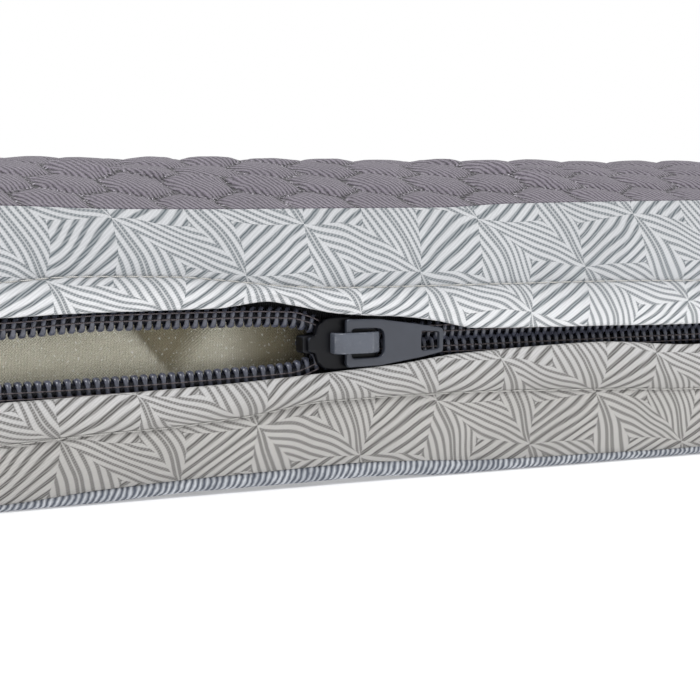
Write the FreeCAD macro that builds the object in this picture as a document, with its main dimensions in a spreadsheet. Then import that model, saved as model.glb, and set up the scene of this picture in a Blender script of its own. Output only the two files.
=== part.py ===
import FreeCAD, Part
import os

import Sketcher

# Thin zip-cover memory foam mattress, in millimetres.
# X runs along the length, Y across the width, Z up. The origin is the middle of the
# underside, and the zip is on the long side that faces -Y.

SIZES = {
    # whole mattress
    "full_length": 1905.0,
    "full_width": 965.0,
    "full_height": 76.0,
    "plan_radius": 60.0,
    # outline of the border, each setback taken inwards from the full length and width
    "sleeve_setback": 11.0,
    "seam_setback": 9.0,
    "bulge_setback": 1.9,
    "border_cloth": 1.2,
    "lower_seam_level": 4.6,
    "upper_seam_level": 63.5,
    "zip_level": 32.7,
    "bulge_rise": 17.0,
    # folded lips beside the zip, each rise taken up or down from the zip's level
    "stitch_rise": 12.6,
    "lip_round_rise": 8.2,
    "lip_rise": 7.0,
    "lip_inner_setback": 5.1,
    "hem_rise": 9.2,
    "hem_inner_setback": 8.2,
    "hem_end_rise": 18.4,
    "thread_radius": 0.25,
    # foam and its sleeve
    "sleeve_low": 1.5,
    "sleeve_high": 66.2,
    "sleeve_cloth": 0.8,
    "fit_gap": 0.1,
    "core_high": 38.0,
    # quilted top panel
    "panel_low": 63.6,
    "knit_cloth": 1.5,
    "shoulder_radius": 8.0,
    "backing_low": 66.3,
    "backing_cloth": 0.6,
    # underside and its piping
    "bottom_cloth": 1.2,
    "bottom_setback": 10.6,
    "welt_radius": 2.1,
    "welt_setback": 8.0,
    "welt_cloth": 0.6,
    # zip chain
    "chain_setback": 7.0,
    "coil_half_thick": 1.5,
    "coil_width": 4.1,
    "coil_clearance": 0.05,
    "coil_end": 846.0,
    "filler_offset": 1.5,
    "filler_width": 1.0,
    "tape_thick": 0.6,
    "tape_offset": 1.2,
    "tape_rise": 17.4,
    "tape_end": 851.0,
    "open_half_gap": 4.4,
    "open_taper": 40.0,
    "mouth_length": 27.0,
    "mouth_half_gap": 2.9,
    "mouth_end": 8.0,
    "mouth_closed": 1.5,
    "stop_length": 3.5,
    "stop_width": 4.6,
    "stop_thick": 3.4,
    "patch_height": 13.6,
    "patch_setback": 4.2,
    # slider, measured from its own centre
    "slider_rest": -560.0,
    "nose_reach": 8.5,
    "nose_half": 3.5,
    "shoulder_reach": 6.4,
    "wing_reach": 4.2,
    "wing_half": 6.2,
    "waist_reach": 1.0,
    "tail_reach": 10.5,
    "tail_half": 5.2,
    "plate_corner": 0.9,
    "front_face": 3.5,
    "back_face": 3.6,
    "channel_front": 1.7,
    "channel_back": 2.3,
    "channel_half": 4.5,
    "channel_flare": 5.0,
    "flange_reach": 3.0,
    "slit_front": 1.3,
    "post_half": 2.3,
    "post_tip_half": 0.8,
    "post_wide_reach": 7.0,
    "post_end_reach": 2.0,
    # crown that holds the pull, measured from the slider's centre
    "crown_left": 2.4,
    "crown_right": 10.0,
    "crown_leg": 1.6,
    "crown_top": 6.9,
    "crown_strap": 0.8,
    "crown_round": 0.8,
    "crown_width": 4.9,
    # pull, measured from its own hinge bar
    "hinge_offset": 2.1,
    "hinge_height": 4.85,
    "pull_thick": 1.3,
    "bar_half": 0.9,
    "pull_length": 24.9,
    "pull_wide_half": 5.35,
    "pull_tip_half": 2.95,
    "window_end": 9.5,
    "window_half": 3.25,
    "eye_start": 19.9,
    "eye_end": 23.9,
    "eye_half": 2.3,
    "pull_corner": 0.8,
    # blank care label on the back
    "label_length": 45.0,
    "label_width": 13.0,
    "label_cloth": 0.4,
    "label_place": 620.0,
}

doc = FreeCAD.newDocument("memory_foam_mattress")
sheet = doc.addObject("Spreadsheet::Sheet", "Sizes")
for row, (alias, value) in enumerate(SIZES.items(), start=1):
    sheet.set(f"A{row}", alias.replace("_", " "))
    sheet.set(f"B{row}", str(value))
    sheet.setAlias(f"B{row}", alias)
doc.recompute()

TURN = 3.141592653589793 / 180.0  # one degree, in radians
FRONT = "full_width / 2"
STRAIGHT = "full_length / 2 - sleeve_setback - plan_radius"
nodes = []


def bound(text):
    """Turns the plain names of an expression into the sheet's cells."""
    words = sorted(SIZES, key=len, reverse=True)
    for word in words:
        text = text.replace(word, "\0" + str(words.index(word)) + "\0")
    for place, word in enumerate(words):
        text = text.replace(f"\0{place}\0", f"Sizes.{word}")
    return text


def value(text):
    """The number that an expression of sheet names comes to."""
    return float(sheet.evalExpression(bound(text)))


def keep(piece, label):
    """Names a finished sub-part and puts it on the list that is written out."""
    piece.Label = label
    nodes.append(piece)
    return piece


def place(piece, x="0", y="0", z="0"):
    """Puts a piece at a point given by expressions."""
    piece.setExpression("Placement.Base.x", bound(x))
    piece.setExpression("Placement.Base.y", bound(y))
    piece.setExpression("Placement.Base.z", bound(z))


def new_body(name):
    return doc.addObject("PartDesign::Body", name)


def new_sketch(body, name, plane, lift=None):
    """A sketch on one of the body's own planes, lifted along the plane's normal."""
    sketch = body.newObject("Sketcher::SketchObject", name)
    origin = [f for f in body.Origin.OriginFeatures if f.Role == plane]
    sketch.AttachmentSupport = [(origin[0], "")]
    sketch.MapMode = "FlatFace"
    if lift is not None:
        sketch.setExpression("AttachmentOffset.Base.z", bound(lift))
    return sketch


def pin_point(sketch, line, end, across, along):
    """Ties one end of a line to the origin by two expressions."""
    for kind, text in (("DistanceX", across), ("DistanceY", along)):
        number = value(text)
        index = sketch.addConstraint(Sketcher.Constraint(kind, -1, 1, line, end, number))
        sketch.setExpression(f"Constraints[{index}]", bound(text))


def polygon(sketch, points):
    """Draws a closed outline through points given as pairs of expressions."""
    at = [FreeCAD.Vector(value(a), value(b), 0) for a, b in points]
    first = sketch.GeometryCount
    for here, there in zip(at, at[1:] + at[:1]):
        sketch.addGeometry(Part.LineSegment(here, there), False)
    count = len(points)
    for n in range(count):
        after = first + (n + 1) % count
        sketch.addConstraint(Sketcher.Constraint("Coincident", first + n, 2, after, 1))
    for n, (across, along) in enumerate(points):
        pin_point(sketch, first + n, 1, across, along)


def rounded_outline(sketch, setback):
    """Draws the mattress's plan outline, set back evenly from the full size."""
    half_x = f"full_length / 2 - {setback}"
    half_y = f"full_width / 2 - {setback}"
    radius = f"plan_radius + sleeve_setback - {setback}"
    inner_x, inner_y = f"({half_x}) - ({radius})", f"({half_y}) - ({radius})"
    hx, hy, r = value(half_x), value(half_y), value(radius)
    cx, cy = value(inner_x), value(inner_y)
    corners = [(cx, cy, 0), (-cx, cy, 90), (-cx, -cy, 180), (cx, -cy, 270)]
    for x, y, start in corners:
        circle = Part.Circle(FreeCAD.Vector(x, y, 0), FreeCAD.Vector(0, 0, 1), r)
        sketch.addGeometry(Part.ArcOfCircle(circle, start * TURN, (start + 90) * TURN), False)
    sides = [((cx, hy), (-cx, hy)), ((-hx, cy), (-hx, -cy)),
             ((-cx, -hy), (cx, -hy)), ((hx, -cy), (hx, cy))]
    for (x0, y0), (x1, y1) in sides:
        ends = FreeCAD.Vector(x0, y0, 0), FreeCAD.Vector(x1, y1, 0)
        sketch.addGeometry(Part.LineSegment(*ends), False)
    for n in range(4):
        side = 4 + n
        sketch.addConstraint(Sketcher.Constraint("Tangent", n, 2, side, 1))
        sketch.addConstraint(Sketcher.Constraint("Tangent", side, 2, (n + 1) % 4, 1))
    for n, (across, along) in enumerate(
        [(inner_x, inner_y), (f"-({inner_x})", inner_y),
         (f"-({inner_x})", f"-({inner_y})"), (inner_x, f"-({inner_y})")]
    ):
        pin_point(sketch, n, 3, across, along)
    index = sketch.addConstraint(Sketcher.Constraint("Radius", 0, r))
    sketch.setExpression(f"Constraints[{index}]", bound(radius))


def pad(body, sketch, length, middle=False):
    feature = body.newObject("PartDesign::Pad", sketch.Name + "Pad")
    feature.Profile = sketch
    feature.setExpression("Length", bound(length))
    feature.Midplane = middle
    doc.recompute()
    return feature


def pocket(body, sketch, length, middle=False):
    """Cuts a sketch's area away, and makes sure that the cut took something."""
    before = body.Shape.Volume
    feature = body.newObject("PartDesign::Pocket", sketch.Name + "Pocket")
    feature.Profile = sketch
    feature.setExpression("Length", bound(length))
    feature.Midplane = middle
    doc.recompute()
    if body.Shape.Volume > before - 0.01:
        raise RuntimeError(f"{body.Name}: the pocket {sketch.Name} cut nothing")
    return feature


def fillet(body, base, radius, chosen):
    """Rounds those edges of the base feature that the test picks."""
    names = [f"Edge{n}" for n, e in enumerate(base.Shape.Edges, start=1) if chosen(e)]
    if not names:
        raise RuntimeError(f"{body.Name}: no edge to round")
    feature = body.newObject("PartDesign::Fillet", base.Name + "Fillet")
    feature.Base = (base, names)
    feature.setExpression("Radius", bound(radius))
    doc.recompute()
    return feature


def upright(edge):
    """Whether an edge runs straight through a plate's thickness, along Y."""
    ends = [v.Point for v in edge.Vertexes]
    if len(ends) != 2:
        return False
    return abs(ends[0].x - ends[1].x) < 1e-6 and abs(ends[0].z - ends[1].z) < 1e-6


def slab(name, setback, low, thick):
    """A flat layer with the mattress's plan outline."""
    body = new_body(name)
    sketch = new_sketch(body, name + "Outline", "XY_Plane", low)
    rounded_outline(sketch, setback)
    pad(body, sketch, thick)
    return body


def domed_slab(name, setback, low, thick, radius):
    """A flat layer whose upper edge is rounded over."""
    body = slab(name, setback, low, thick)
    top = value(low) + value(thick)
    at_top = lambda e: all(abs(v.Point.z - top) < 1e-6 for v in e.Vertexes)
    fillet(body, body.Tip, radius, at_top)
    return body


def cut(base, tool, label):
    piece = doc.addObject("Part::Cut", label)
    piece.Base = base
    piece.Tool = tool
    return keep(piece, label)


# --- foam core and its sleeve ---------------------------------------------------------

sleeve_outside = slab("SleeveOutside", "sleeve_setback", "sleeve_low", "sleeve_high - sleeve_low")
sleeve_inside = slab(
    "SleeveInside",
    "(sleeve_setback + sleeve_cloth)",
    "sleeve_low + sleeve_cloth",
    "sleeve_high - sleeve_low - 2 * sleeve_cloth",
)
foam_setback = "(sleeve_setback + sleeve_cloth + fit_gap)"
foam_low = "sleeve_low + sleeve_cloth + fit_gap"
foam_high = "sleeve_high - sleeve_cloth - fit_gap"
core = slab("SupportFoamCore", foam_setback, foam_low, f"core_high - ({foam_low})")
keep(core, "support_foam_core")
layer = slab(
    "MemoryFoamLayer", foam_setback, "core_high + fit_gap", f"{foam_high} - core_high - fit_gap"
)
keep(layer, "memory_foam_layer")
cut(sleeve_outside, sleeve_inside, "inner_sleeve")

# --- quilted top panel ----------------------------------------------------------------

backing = slab("TopBacking", "(bottom_setback + fit_gap)", "backing_low", "backing_cloth")
keep(backing, "top_backing")
wadding_low = "backing_low + backing_cloth + fit_gap"
wadding = domed_slab(
    "TopWadding",
    "(bottom_setback + fit_gap)",
    wadding_low,
    f"full_height - knit_cloth - fit_gap - ({wadding_low})",
    "shoulder_radius - knit_cloth - fit_gap",
)
keep(wadding, "top_wadding")
panel_outside = domed_slab(
    "PanelOutside", "seam_setback", "panel_low", "full_height - panel_low", "shoulder_radius"
)
panel_inside = domed_slab(
    "PanelInside",
    "(seam_setback + knit_cloth)",
    "panel_low - knit_cloth",
    "full_height - panel_low",
    "shoulder_radius - knit_cloth",
)
cut(panel_outside, panel_inside, "top_knit_panel")

# --- underside and its piping ---------------------------------------------------------

bottom = slab("BottomPanel", "bottom_setback", "0", "bottom_cloth")
keep(bottom, "bottom_panel")


def swept_ring(name, radius):
    """A round ring round the foot of the border."""
    body = new_body(name)
    path = new_sketch(body, name + "Path", "XY_Plane", "welt_radius")
    rounded_outline(path, "welt_setback")
    section = new_sketch(body, name + "Section", "YZ_Plane")
    across, along = f"welt_setback - {FRONT}", "welt_radius"
    centre = FreeCAD.Vector(value(across), value(along), 0)
    circle = Part.Circle(centre, FreeCAD.Vector(0, 0, 1), value(radius))
    pin_point(section, section.addGeometry(circle, False), 3, across, along)
    index = section.addConstraint(Sketcher.Constraint("Radius", 0, value(radius)))
    section.setExpression(f"Constraints[{index}]", bound(radius))
    doc.recompute()
    pipe = body.newObject("PartDesign::AdditivePipe", name + "Pipe")
    pipe.Profile = section
    pipe.Spine = path
    doc.recompute()
    return body


keep(swept_ring("WeltCord", "welt_radius - welt_cloth - fit_gap"), "welt_cord")
welt_outside = swept_ring("WeltOutside", "welt_radius")
welt_inside = swept_ring("WeltInside", "welt_radius - welt_cloth")
cut(welt_outside, welt_inside, "welt_cover")

# --- border cloth ---------------------------------------------------------------------

def front_band(name, label, sign, seam_level):
    """The border cloth on one side of the zip, with its folded hem, along the front."""
    profile = [
        ("seam_setback", seam_level),
        ("bulge_setback", f"zip_level {sign} bulge_rise"),
        ("bulge_setback", f"zip_level {sign} stitch_rise"),
        ("0", f"zip_level {sign} lip_round_rise"),
        ("0", f"zip_level {sign} lip_rise"),
        ("lip_inner_setback", f"zip_level {sign} lip_rise"),
        ("lip_inner_setback", f"zip_level {sign} hem_rise"),
        ("hem_inner_setback", f"zip_level {sign} hem_rise"),
        ("hem_inner_setback", f"zip_level {sign} hem_end_rise"),
        ("seam_setback + border_cloth", seam_level),
    ]
    body = new_body(name)
    sketch = new_sketch(body, name + "Section", "YZ_Plane")
    polygon(sketch, [(f"{setback} - {FRONT}", level) for setback, level in profile])
    pad(body, sketch, f"2 * ({STRAIGHT})", middle=True)
    keep(body, label)


front_band("UpperBand", "upper_border_front", "+", "upper_seam_level")
front_band("LowerBand", "lower_border_front", "-", "lower_seam_level")


def border_wrap():
    """The one-piece border cloth round both ends and the back."""
    body = new_body("BorderWrap")
    path = new_sketch(body, "WrapPath", "XY_Plane")
    half_x, half_y = "full_length / 2 - sleeve_setback", f"{FRONT} - sleeve_setback"
    inner_x, inner_y = f"({half_x} - plan_radius)", f"({half_y} - plan_radius)"
    hx, hy, r = value(half_x), value(half_y), value("plan_radius")
    cx, cy = value(inner_x), value(inner_y)
    corners = [(cx, -cy, 270), (cx, cy, 0), (-cx, cy, 90), (-cx, -cy, 180)]
    sides = [((hx, -cy), (hx, cy)), ((cx, hy), (-cx, hy)), ((-hx, cy), (-hx, -cy))]
    for x, y, start in corners:
        circle = Part.Circle(FreeCAD.Vector(x, y, 0), FreeCAD.Vector(0, 0, 1), r)
        path.addGeometry(Part.ArcOfCircle(circle, start * TURN, (start + 90) * TURN), False)
    for (x0, y0), (x1, y1) in sides:
        ends = FreeCAD.Vector(x0, y0, 0), FreeCAD.Vector(x1, y1, 0)
        path.addGeometry(Part.LineSegment(*ends), False)
    for n in range(3):
        path.addConstraint(Sketcher.Constraint("Tangent", n, 2, 4 + n, 1))
        path.addConstraint(Sketcher.Constraint("Tangent", 4 + n, 2, n + 1, 1))
    centres = [(inner_x, f"-({inner_y})"), (inner_x, inner_y),
               (f"-({inner_x})", inner_y), (f"-({inner_x})", f"-({inner_y})")]
    for n, (across, along) in enumerate(centres):
        pin_point(path, n, 3, across, along)
    pin_point(path, 0, 1, inner_x, f"-({half_y})")
    pin_point(path, 3, 2, f"-({inner_x})", f"-({half_y})")
    section = new_sketch(body, "WrapSection", "YZ_Plane", STRAIGHT)
    outer = [
        ("seam_setback", "lower_seam_level"),
        ("bulge_setback", "zip_level - bulge_rise"),
        ("0", "zip_level"),
        ("bulge_setback", "zip_level + bulge_rise"),
        ("seam_setback", "upper_seam_level"),
    ]
    inner = [(f"{setback} + border_cloth", level) for setback, level in reversed(outer)]
    polygon(section, [(f"{setback} - {FRONT}", level) for setback, level in outer + inner])
    doc.recompute()
    pipe = body.newObject("PartDesign::AdditivePipe", "WrapPipe")
    pipe.Profile = section
    pipe.Spine = path
    doc.recompute()
    keep(body, "border_wrap")


border_wrap()

# --- topstitching ---------------------------------------------------------------------


def stitch_line(label, sign):
    """One row of sewing thread along the front, laid in the crease beside a lip."""
    thread = doc.addObject("Part::Cylinder", label)
    thread.setExpression("Radius", bound("thread_radius"))
    thread.setExpression("Height", bound(f"2 * ({STRAIGHT})"))
    thread.Placement.Rotation = FreeCAD.Rotation(FreeCAD.Vector(0, 1, 0), 90)
    outside = f"bulge_setback - {FRONT} - thread_radius - fit_gap"
    place(thread, f"-({STRAIGHT})", outside, f"zip_level {sign} (stitch_rise + 2 * thread_radius)")
    keep(thread, label)


stitch_line("topstitch_upper", "+")
stitch_line("topstitch_lower", "-")

# --- zip chain and tapes --------------------------------------------------------------

CHAIN_Y = f"chain_setback - {FRONT}"
# where the inner edge of each coil runs, as (distance along X, distance from the zip's line)
INNER_EDGE = [
    ("-coil_end", "coil_clearance"),
    ("open_taper - coil_end", "open_half_gap"),
    ("slider_rest - mouth_length", "open_half_gap"),
    ("slider_rest - mouth_end", "mouth_half_gap"),
    ("slider_rest - mouth_closed", "coil_clearance"),
    ("coil_end", "coil_clearance"),
]


def chain_strip(sketch, sign, near, far):
    """Draws a strip that follows the coil's inner edge between two offsets from it."""
    edge = [(x, f"{sign}({gap} + {near})") for x, gap in INNER_EDGE]
    back = [(x, f"{sign}({gap} + {far})") for x, gap in reversed(INNER_EDGE)]
    polygon(sketch, edge + back)


def coil(name, label, sign):
    """One nylon coil, as the plain bar that its loops fill, bored for its filler cord."""
    body = new_body(name)
    outline = new_sketch(body, name + "Outline", "XZ_Plane")
    chain_strip(outline, sign, "0", "coil_width")
    pad(body, outline, "2 * coil_half_thick", middle=True)
    bore = new_sketch(body, name + "Bore", "XZ_Plane")
    chain_strip(bore, sign, "filler_offset", "filler_offset + filler_width")
    pocket(body, bore, "filler_width", middle=True)
    place(body, "0", CHAIN_Y, "zip_level")
    keep(body, label)


def coil_filler(name, label, sign):
    """The cord that lies inside one coil."""
    body = new_body(name)
    outline = new_sketch(body, name + "Outline", "XZ_Plane")
    chain_strip(
        outline, sign, "filler_offset + coil_clearance",
        "filler_offset + filler_width - coil_clearance",
    )
    pad(body, outline, "filler_width - 2 * coil_clearance", middle=True)
    place(body, "0", CHAIN_Y, "zip_level")
    keep(body, label)


def tape(name, label, sign):
    """One woven tape, behind its coil and out to the border's stitching."""
    body = new_body(name)
    outline = new_sketch(body, name + "Outline", "XZ_Plane", "-(coil_half_thick + tape_thick)")
    ends = [(f"{side}tape_end", f"{sign}(coil_clearance + tape_offset)") for side in "-+"]
    edge = [(x, f"{sign}({gap} + tape_offset)") for x, gap in INNER_EDGE]
    back = [("tape_end", f"{sign}tape_rise"), ("-tape_end", f"{sign}tape_rise")]
    polygon(outline, ends[:1] + edge + ends[1:] + back)
    pad(body, outline, "tape_thick")
    place(body, "0", CHAIN_Y, "zip_level")
    keep(body, label)


for side, sign in (("upper", "+"), ("lower", "-")):
    coil("Coil" + side.title(), "zip_coil_" + side, sign)
    coil_filler("Filler" + side.title(), "zip_coil_filler_" + side, sign)
    tape("Tape" + side.title(), "zip_tape_" + side, sign)


def stop_block(name, x, z, width):
    """A small metal clip on the face of the tapes, at an end of the chain."""
    block = doc.addObject("Part::Box", name)
    block.setExpression("Length", bound("stop_length"))
    block.setExpression("Width", bound("stop_thick"))
    block.setExpression("Height", bound(width))
    place(block, x, f"{CHAIN_Y} + coil_half_thick - stop_thick", z)
    return block


left_end = "-coil_end - stop_length - fit_gap"
top_stops = doc.addObject("Part::Compound", "TopStops")
top_stops.Links = [
    stop_block("TopStopAbove", left_end, "zip_level + fit_gap", "stop_width"),
    stop_block("TopStopBelow", left_end, "zip_level - stop_width - fit_gap", "stop_width"),
]
keep(top_stops, "zip_top_stops")
bottom_stop = stop_block(
    "BottomStop", "coil_end + fit_gap", "zip_level - stop_width", "2 * stop_width"
)
keep(bottom_stop, "zip_bottom_stop")


def end_patch(label, x):
    """A square of border cloth that closes the slot between the lips past the zip."""
    patch = doc.addObject("Part::Box", label)
    patch.setExpression("Length", bound(f"{STRAIGHT} - tape_end - 2 * fit_gap"))
    patch.setExpression("Width", bound("border_cloth"))
    patch.setExpression("Height", bound("patch_height"))
    place(patch, x, f"patch_setback - {FRONT}", "zip_level - patch_height / 2")
    keep(patch, label)


end_patch("zip_end_patch_left", f"fit_gap - ({STRAIGHT})")
end_patch("zip_end_patch_right", "tape_end + fit_gap")

# --- slider ---------------------------------------------------------------------------


def mirrored(points):
    """An outline from its upper half, as (distance along X, half width)."""
    lower = [(x, f"-({half})") for x, half in points]
    return lower + list(reversed(points))


def slider_body():
    """Two plates joined by a wedge, with a forked channel for the coils between them."""
    body = new_body("SliderBody")
    outline = new_sketch(body, "SliderOutline", "XZ_Plane", "-back_face")
    polygon(outline, mirrored([
        ("-nose_reach", "nose_half"),
        ("-shoulder_reach", "wing_half - 1"),
        ("-wing_reach", "wing_half"),
        ("waist_reach", "wing_half"),
        ("wing_reach", "tail_half"),
        ("tail_reach", "tail_half"),
    ]))
    plates = pad(body, outline, "front_face + back_face")
    fillet(body, plates, "plate_corner", upright)
    channel = new_sketch(body, "SliderChannel", "XZ_Plane", "channel_front")
    polygon(channel, mirrored([
        ("-nose_reach - 1", "wing_half + 1"),
        ("-flange_reach", "wing_half + 1"),
        ("-flange_reach", "channel_flare"),
        ("-flange_reach / 2", "channel_half"),
        ("tail_reach + 1", "channel_half"),
    ]))
    polygon(channel, [
        ("-nose_reach + plate_corner / 2", "-post_tip_half"),
        ("-post_wide_reach", "-post_half"),
        ("-post_end_reach", "0"),
        ("-post_wide_reach", "post_half"),
        ("-nose_reach + plate_corner / 2", "post_tip_half"),
    ])
    pocket(body, channel, "channel_front + channel_back")
    slits = new_sketch(body, "SliderSlits", "XZ_Plane", "-slit_front")
    for sign in "-+":
        polygon(slits, [
            ("-flange_reach - 1", f"{sign}(channel_half - 1)"),
            ("tail_reach + 1", f"{sign}(channel_half - 1)"),
            ("tail_reach + 1", f"{sign}(wing_half + 1)"),
            ("-flange_reach - 1", f"{sign}(wing_half + 1)"),
        ])
    pocket(body, slits, "channel_back - slit_front")
    place(body, "slider_rest", CHAIN_Y, "zip_level")
    keep(body, "slider_body")


def slider_crown():
    """The bent strap over the pull's hinge bar."""
    body = new_body("SliderCrown")
    profile = new_sketch(body, "CrownProfile", "XY_Plane")
    polygon(profile, [
        ("-crown_left", "-front_face"),
        ("-crown_left", "crown_round - crown_top"),
        ("crown_round - crown_left", "-crown_top"),
        ("crown_right - crown_round", "-crown_top"),
        ("crown_right", "crown_round - crown_top"),
        ("crown_right", "-front_face"),
        ("crown_right - crown_leg", "-front_face"),
        ("crown_right - crown_leg", "crown_strap - crown_top"),
        ("crown_leg - crown_left", "crown_strap - crown_top"),
        ("crown_leg - crown_left", "-front_face"),
    ])
    pad(body, profile, "crown_width", middle=True)
    place(body, "slider_rest", CHAIN_Y, "zip_level")
    keep(body, "slider_crown")


def pull_tab():
    """The tapered pull, with a window round the crown and an eye at its far end."""
    body = new_body("PullTab")
    outline = new_sketch(body, "PullOutline", "XZ_Plane")
    polygon(outline, mirrored([("-bar_half", "pull_wide_half"), ("pull_length", "pull_tip_half")]))
    plate = pad(body, outline, "pull_thick", middle=True)
    rounded = fillet(body, plate, "pull_corner", upright)
    openings = new_sketch(body, "PullOpenings", "XZ_Plane")
    polygon(openings, mirrored([("bar_half", "window_half"), ("window_end", "window_half")]))
    polygon(openings, mirrored([("eye_start", "eye_half"), ("eye_end", "eye_half")]))
    holes = pocket(body, openings, "pull_thick", middle=True)
    window_corner = lambda e: upright(e) and (
        abs(e.Vertexes[0].Point.x - value("window_end")) < 1e-6
    )
    fillet(body, holes, "pull_corner", window_corner)
    place(body, "slider_rest + hinge_offset", f"{CHAIN_Y} - hinge_height", "zip_level")
    keep(body, "pull_tab")


slider_body()
slider_crown()
pull_tab()

# --- blank care label -----------------------------------------------------------------


def care_label():
    """A blank cloth label sewn under the top seam, lying on the slope of the back border."""
    label = doc.addObject("Part::Box", "care_label")
    label.setExpression("Length", bound("label_length"))
    label.setExpression("Width", bound("label_cloth"))
    label.setExpression("Height", bound("label_width"))
    run = value("seam_setback - bulge_setback")
    fall = value("upper_seam_level - zip_level - bulge_rise")
    slope = FreeCAD.Vector(0, -run, fall)
    label.Placement.Rotation = FreeCAD.Rotation(FreeCAD.Vector(0, 0, 1), slope)
    foot = "zip_level + bulge_rise + fit_gap"
    place(label, "-label_place", f"{FRONT} - bulge_setback + 2 * fit_gap", foot)
    keep(label, "care_label")


care_label()

# --- checks and files -----------------------------------------------------------------

doc.recompute()
for thing in doc.Objects:
    if "Invalid" in thing.State or "Error" in thing.State:
        raise RuntimeError(f"{thing.Label} failed: {thing.State}")
for piece in nodes:
    if piece.Shape.isNull() or not piece.Shape.isValid() or not piece.Shape.Solids:
        raise RuntimeError(f"{piece.Label} has no valid shape")
    box = piece.Shape.BoundBox
    print(
        f"{piece.Label:24s} {piece.Shape.Volume / 1000:12.3f} cm3"
        f"  x {box.XMin:8.2f} {box.XMax:8.2f}  y {box.YMin:8.2f} {box.YMax:8.2f}"
        f"  z {box.ZMin:6.2f} {box.ZMax:6.2f}"
    )

os.makedirs("parts", exist_ok=True)
for piece in nodes:
    piece.Shape.exportStep(f"parts/{piece.Label}.step")
print(len(nodes), "sub-parts written")
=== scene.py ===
"""Looks of a thin zip-cover memory foam mattress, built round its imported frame.

Lengths inside the builders are millimetres in the row's frame, and meshes are written in
metres. Along the front edge, u is the distance from the slider's rest place towards +X.
"""

import logging
import math
from dataclasses import dataclass, field
from enum import Enum
from typing import Iterable, Sequence

import bmesh
import bpy
import numpy as np
from mathutils import Matrix, Vector


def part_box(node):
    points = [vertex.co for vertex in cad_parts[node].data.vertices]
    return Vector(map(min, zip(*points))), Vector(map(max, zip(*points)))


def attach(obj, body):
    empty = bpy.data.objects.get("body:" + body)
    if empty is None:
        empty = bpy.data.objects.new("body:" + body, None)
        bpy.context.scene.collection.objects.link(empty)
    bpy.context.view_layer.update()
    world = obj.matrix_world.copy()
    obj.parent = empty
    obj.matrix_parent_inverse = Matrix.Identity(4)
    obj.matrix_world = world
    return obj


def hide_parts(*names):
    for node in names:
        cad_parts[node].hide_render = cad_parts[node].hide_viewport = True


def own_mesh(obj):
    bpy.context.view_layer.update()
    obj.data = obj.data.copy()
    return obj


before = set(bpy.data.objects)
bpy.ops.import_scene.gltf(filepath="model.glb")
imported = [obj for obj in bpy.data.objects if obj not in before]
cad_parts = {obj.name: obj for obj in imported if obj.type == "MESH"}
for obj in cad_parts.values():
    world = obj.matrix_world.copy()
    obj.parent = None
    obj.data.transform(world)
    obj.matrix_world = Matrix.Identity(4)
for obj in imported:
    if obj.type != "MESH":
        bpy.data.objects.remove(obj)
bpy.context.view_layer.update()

LOG = logging.getLogger("mattress")
MM = 0.001
BODY = "cover_and_foam"
Array = np.ndarray


def node_box(node: str) -> tuple[Array, Array]:
    """Corners of a CAD node.

    Args:
        node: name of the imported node.

    Returns:
        Its lowest and highest corner, in millimetres.
    """
    low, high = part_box(node)
    return np.array(low) / MM, np.array(high) / MM


# ---------------------------------------------------------------- shapes from numbers


@dataclass(frozen=True)
class Curve:
    """A smooth line through a few chosen points, level past its ends."""

    points: tuple[tuple[float, float], ...]
    tiny: float = 1e-12

    def __call__(self, at: Array) -> Array:
        """Value of the line, by cubic pieces that don't overshoot.

        Args:
            at: the places along the line.

        Returns:
            The value at each of them.
        """
        x = np.array([p[0] for p in self.points])
        y = np.array([p[1] for p in self.points])
        slope = np.diff(y) / np.diff(x)
        mean = 2 / (1 / (slope[1:] + self.tiny) + 1 / (slope[:-1] + self.tiny))
        inner = np.where(slope[1:] * slope[:-1] > 0, mean, 0.0)
        tangent = np.concatenate([[0.0], inner, [0.0]])
        q = np.clip(np.asarray(at, float), x[0], x[-1])
        k = np.clip(np.searchsorted(x, q, side="right") - 1, 0, len(x) - 2)
        step = x[k + 1] - x[k]
        t = (q - x[k]) / step
        return (
            (2 * t**3 - 3 * t**2 + 1) * y[k]
            + (t**3 - 2 * t**2 + t) * step * tangent[k]
            + (3 * t**2 - 2 * t**3) * y[k + 1]
            + (t**3 - t**2) * step * tangent[k + 1]
        )


def ripple(x: Array, y: Array, length: float, seed: int) -> Array:
    """Soft unevenness of cloth, from -1 to 1.

    Args:
        x: first coordinate of each point.
        y: second coordinate of each point.
        length: typical distance between crests.
        seed: picks the pattern.

    Returns:
        The height at each point.
    """
    draw = np.random.RandomState(seed)
    total = np.zeros(np.broadcast(x, y).shape)
    waves = 6
    calm = 1.6
    for _ in range(waves):
        turn = draw.uniform(0, math.tau)
        reach = length * draw.uniform(0.6, 1.7)
        phase = draw.uniform(0, math.tau)
        total += np.sin((x * math.cos(turn) + y * math.sin(turn)) * math.tau / reach + phase)
    return total / math.sqrt(waves) / calm


def graded(start: float, stop: float, focus: tuple[float, float], fine: float, coarse: float) -> Array:
    """Places along a line, close together in a focus stretch and wider away from it.

    Args:
        start: first place.
        stop: last place.
        focus: the stretch with the fine step.
        fine: step inside the focus.
        coarse: widest step.

    Returns:
        The places, from start to stop.
    """
    growth = 0.09
    places = [start]
    while places[-1] < stop:
        here = places[-1]
        away = max(focus[0] - here, here - focus[1], 0.0)
        step = min(coarse, fine + growth * away)
        if here < focus[0]:
            step = min(step, max(fine, focus[0] - here))
        places.append(here + step)
    line = np.array(places)
    return start + (line - start) * (stop - start) / (line[-1] - start)


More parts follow.
